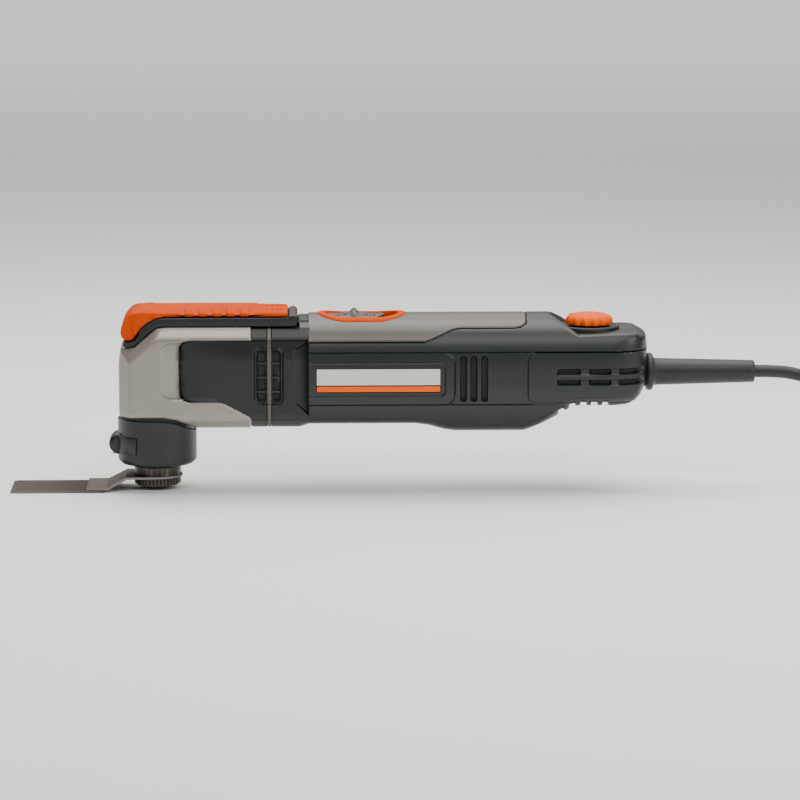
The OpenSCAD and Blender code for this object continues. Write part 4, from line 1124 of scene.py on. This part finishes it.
def add_lead():
    """Lead from the bend protector through its hank to the plug."""
    points = row(LEAD_POINTS + hank_points() + TAIL_POINTS)
    curve = bpy.data.curves.new("lead", "CURVE")
    curve.dimensions = "3D"
    curve.bevel_depth, curve.bevel_resolution, curve.resolution_u = CORD_D / 2 * MM, 6, 8
    curve.use_fill_caps = True
    spline = curve.splines.new("BEZIER")
    spline.bezier_points.add(len(points) - 1)
    for bezier, p in zip(spline.bezier_points, points):
        bezier.co = p
        bezier.handle_left_type = bezier.handle_right_type = "AUTO"
    curve.materials.append(FINISHES["rubber"])
    lead = bpy.data.objects.new("mains_lead", curve)
    bpy.context.scene.collection.objects.link(lead)
    bpy.context.view_layer.update()
    # handles that would dip under the floor are levelled
    for bezier in spline.bezier_points:
        handles = Vector(bezier.handle_left), Vector(bezier.handle_right)
        if min(h.z for h in handles) < FLOOR_LINE:
            bezier.handle_left_type = bezier.handle_right_type = "FREE"
            bezier.handle_left, bezier.handle_right = ((h.x, h.y, bezier.co.z) for h in handles)
    bpy.context.view_layer.update()
    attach(lead, "root")
    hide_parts("cord_lead", "cord_hank", "cord_tail")


def add_boot():
    """Bend protector: a flange and a tapering sleeve."""
    x0, x1, x2 = REAR_X - 1.5, boot_low[0] + 12, BOOT_END
    flange, sleeve, taper, steps = 10.3, 7.45, 1.35, 24
    profile = [(8, x0), (flange - 0.5, x0 + 1.0), (flange, x0 + 1.6), (flange, x1 - 1.2),
               (flange - 0.4, x1 - 0.5), (flange - 1.2, x1 - 0.1), (8.2, x1), (7.7, x1 + 0.5),
               (sleeve, x1 + 1.4)]
    for k in range(1, steps + 1):
        profile.append((sleeve - taper * k / steps, x1 + 1.4 + (x2 - x1 - 2.2) * k / steps))
    profile += [(5.8, x2 - 0.3), (5.2, x2), (CORD_D / 2, x2)]
    shape = lathe(profile, 96, centre=(0, CORD_Z), axis="x")
    return add_piece("bend_protector", shape, "rubber", "cord_boot", sharp=50)


# stations of the plug: distance from its tail, half width, half height and squareness
PLUG_STATIONS = [
    (0, 4.9, 4.9, 2.0), (1.5, 5.3, 5.2, 2.0), (6, 5.9, 5.6, 2.1), (9, 7.6, 7.0, 2.3), (12.5, 11.3, 9.6, 2.6),
    (17, 14.4, 11.8, 3.0), (23, 16.7, 13.2, 3.4), (29, 17.9, 13.8, 3.8), (34.5, 18.3, 13.9, 4.0),
    (36.6, 18.1, 13.7, 4.0), (37.6, 17.4, 13.0, 4.0), (38.0, 16.4, 12.0, 4.0)
]


def add_plug():
    """Moulded plug body with a waist, finger grips and a flat front."""
    circle = arc(0, 0, 1, 0, 360, 88)[:-1]
    rings = []
    for x, a, b, n in PLUG_STATIONS:
        rings.append([(PLUG_X + x, PLUG_Y + a * math.copysign(abs(c) ** (2 / n), c),
                       PLUG_Z + b * math.copysign(abs(s) ** (2 / n), s)) for c, s in circle])
    body = add_piece("plug_shell", loft(rings, caps=True), "rubber", "plug_body", sharp=50, closed=True)
    grips = []
    for side in (-1, 1):
        for i in range(4):
            x, y = PLUG_X + 20.5 + 3.4 * i, PLUG_Y + side * (15.9 + 0.55 * i)
            shape = [(x, PLUG_Z - 8), (x + 1.5, PLUG_Z - 8), (x + 1.5, PLUG_Z + 8), (x, PLUG_Z + 8)]
            grips.append(slab(shape, (y - 1.1, y + 1.1)))
    grips = add_piece("plug_grips", joined(grips), "rubber", "plug_body", closed=True)
    soften(grips, 0.5, 2)
    x = PLUG_X + 37.4
    profile = [(2.4, x), (2.4, x + 18.2), (2.2, x + 19.0), (1.6, x + 19.5), (0.02, x + 19.6)]
    pins = joined([lathe(profile, 40, centre=(PLUG_Y + y, PLUG_Z), axis="x") for y in (-9.5, 9.5)])
    return [body, grips, add_piece("plug_contacts", pins, "pin", "plug_pins")]


def add_tie():
    """Hook and loop strap round the hank."""
    half_w, thick, radius = 7.0, 1.3, 3.0
    x = HANK_X + HANK_RUN / 2
    ry, h = FOLD_R + 1.5 * CORD_D, HANK_LAYERS * CORD_D
    low = thick + radius
    corners = [(-ry + radius, low, 180, 270), (ry - radius, low, 270, 360), (ry - radius, h - radius, 0, 90),
               (-ry + radius, h - radius, 90, 180)]
    outline = [p for cy, cz, a, b in corners for p in arc(cy, cz, radius, a, b, 6)]
    rings = []
    for out, dx in ((0, -half_w), (thick, -half_w), (thick, half_w), (0, half_w)):
        ring = []
        for y, z in outline:
            d = math.hypot(y, z - h / 2)
            ring.append((x + dx, y + out * y / d, max(0.05, z + out * (z - h / 2) / d)))
        rings.append(ring)
    return add_piece("lead_tie", loft(rings, loop=True), "black", "hank_tie", sharp=40, closed=True)


# ---------------------------------------------------------------- CAD nodes that keep their shape

KEPT = {
    "blade": ["blade_plate"],
    "arm": ["blade_arm"],
    "clamp": ["spindle", "clamp_bolt"],
    "steel": [
        "drive_fork", "spindle_upper_bearing", "spindle_lower_bearing", "lever_pin", "rotor_shaft",
        "counterweight", "eccentric_bearing", "rotor_front_bearing", "rotor_rear_bearing", "bearing_plate",
        "bearing_plate_screws", "housing_screws", "head_screws"
    ],
    "cast": ["gear_case"],
    "iron": ["field_core", "armature_core"],
    "copper": ["field_windings", "armature_windings", "commutator"],
    "brass": ["brush_holders"],
    "carbon": ["carbon_brushes"],
    "board": ["dial_control", "circuit_board"],
    "black": ["switch_link", "switch_body", "cooling_fan", "cord_clamp"],
    "seal": ["spindle_seal"],
    "lens": ["light_lens"],
}


def dress_cad_nodes():
    """Gives the CAD nodes that keep their shape their finish."""
    for finish, nodes in KEPT.items():
        for node in nodes:
            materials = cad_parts[node].data.materials
            materials.clear()
            materials.append(FINISHES[finish])


add_camera()
add_studio()
add_floor()
boot = add_boot()
plug = add_plug()
tie = add_tie()
add_lead()
add_housing()
add_head()
add_springs()
add_nose()
add_lever()
add_tray()
add_bezel()
add_slider()
add_dial()
add_badges()
dress_cad_nodes()
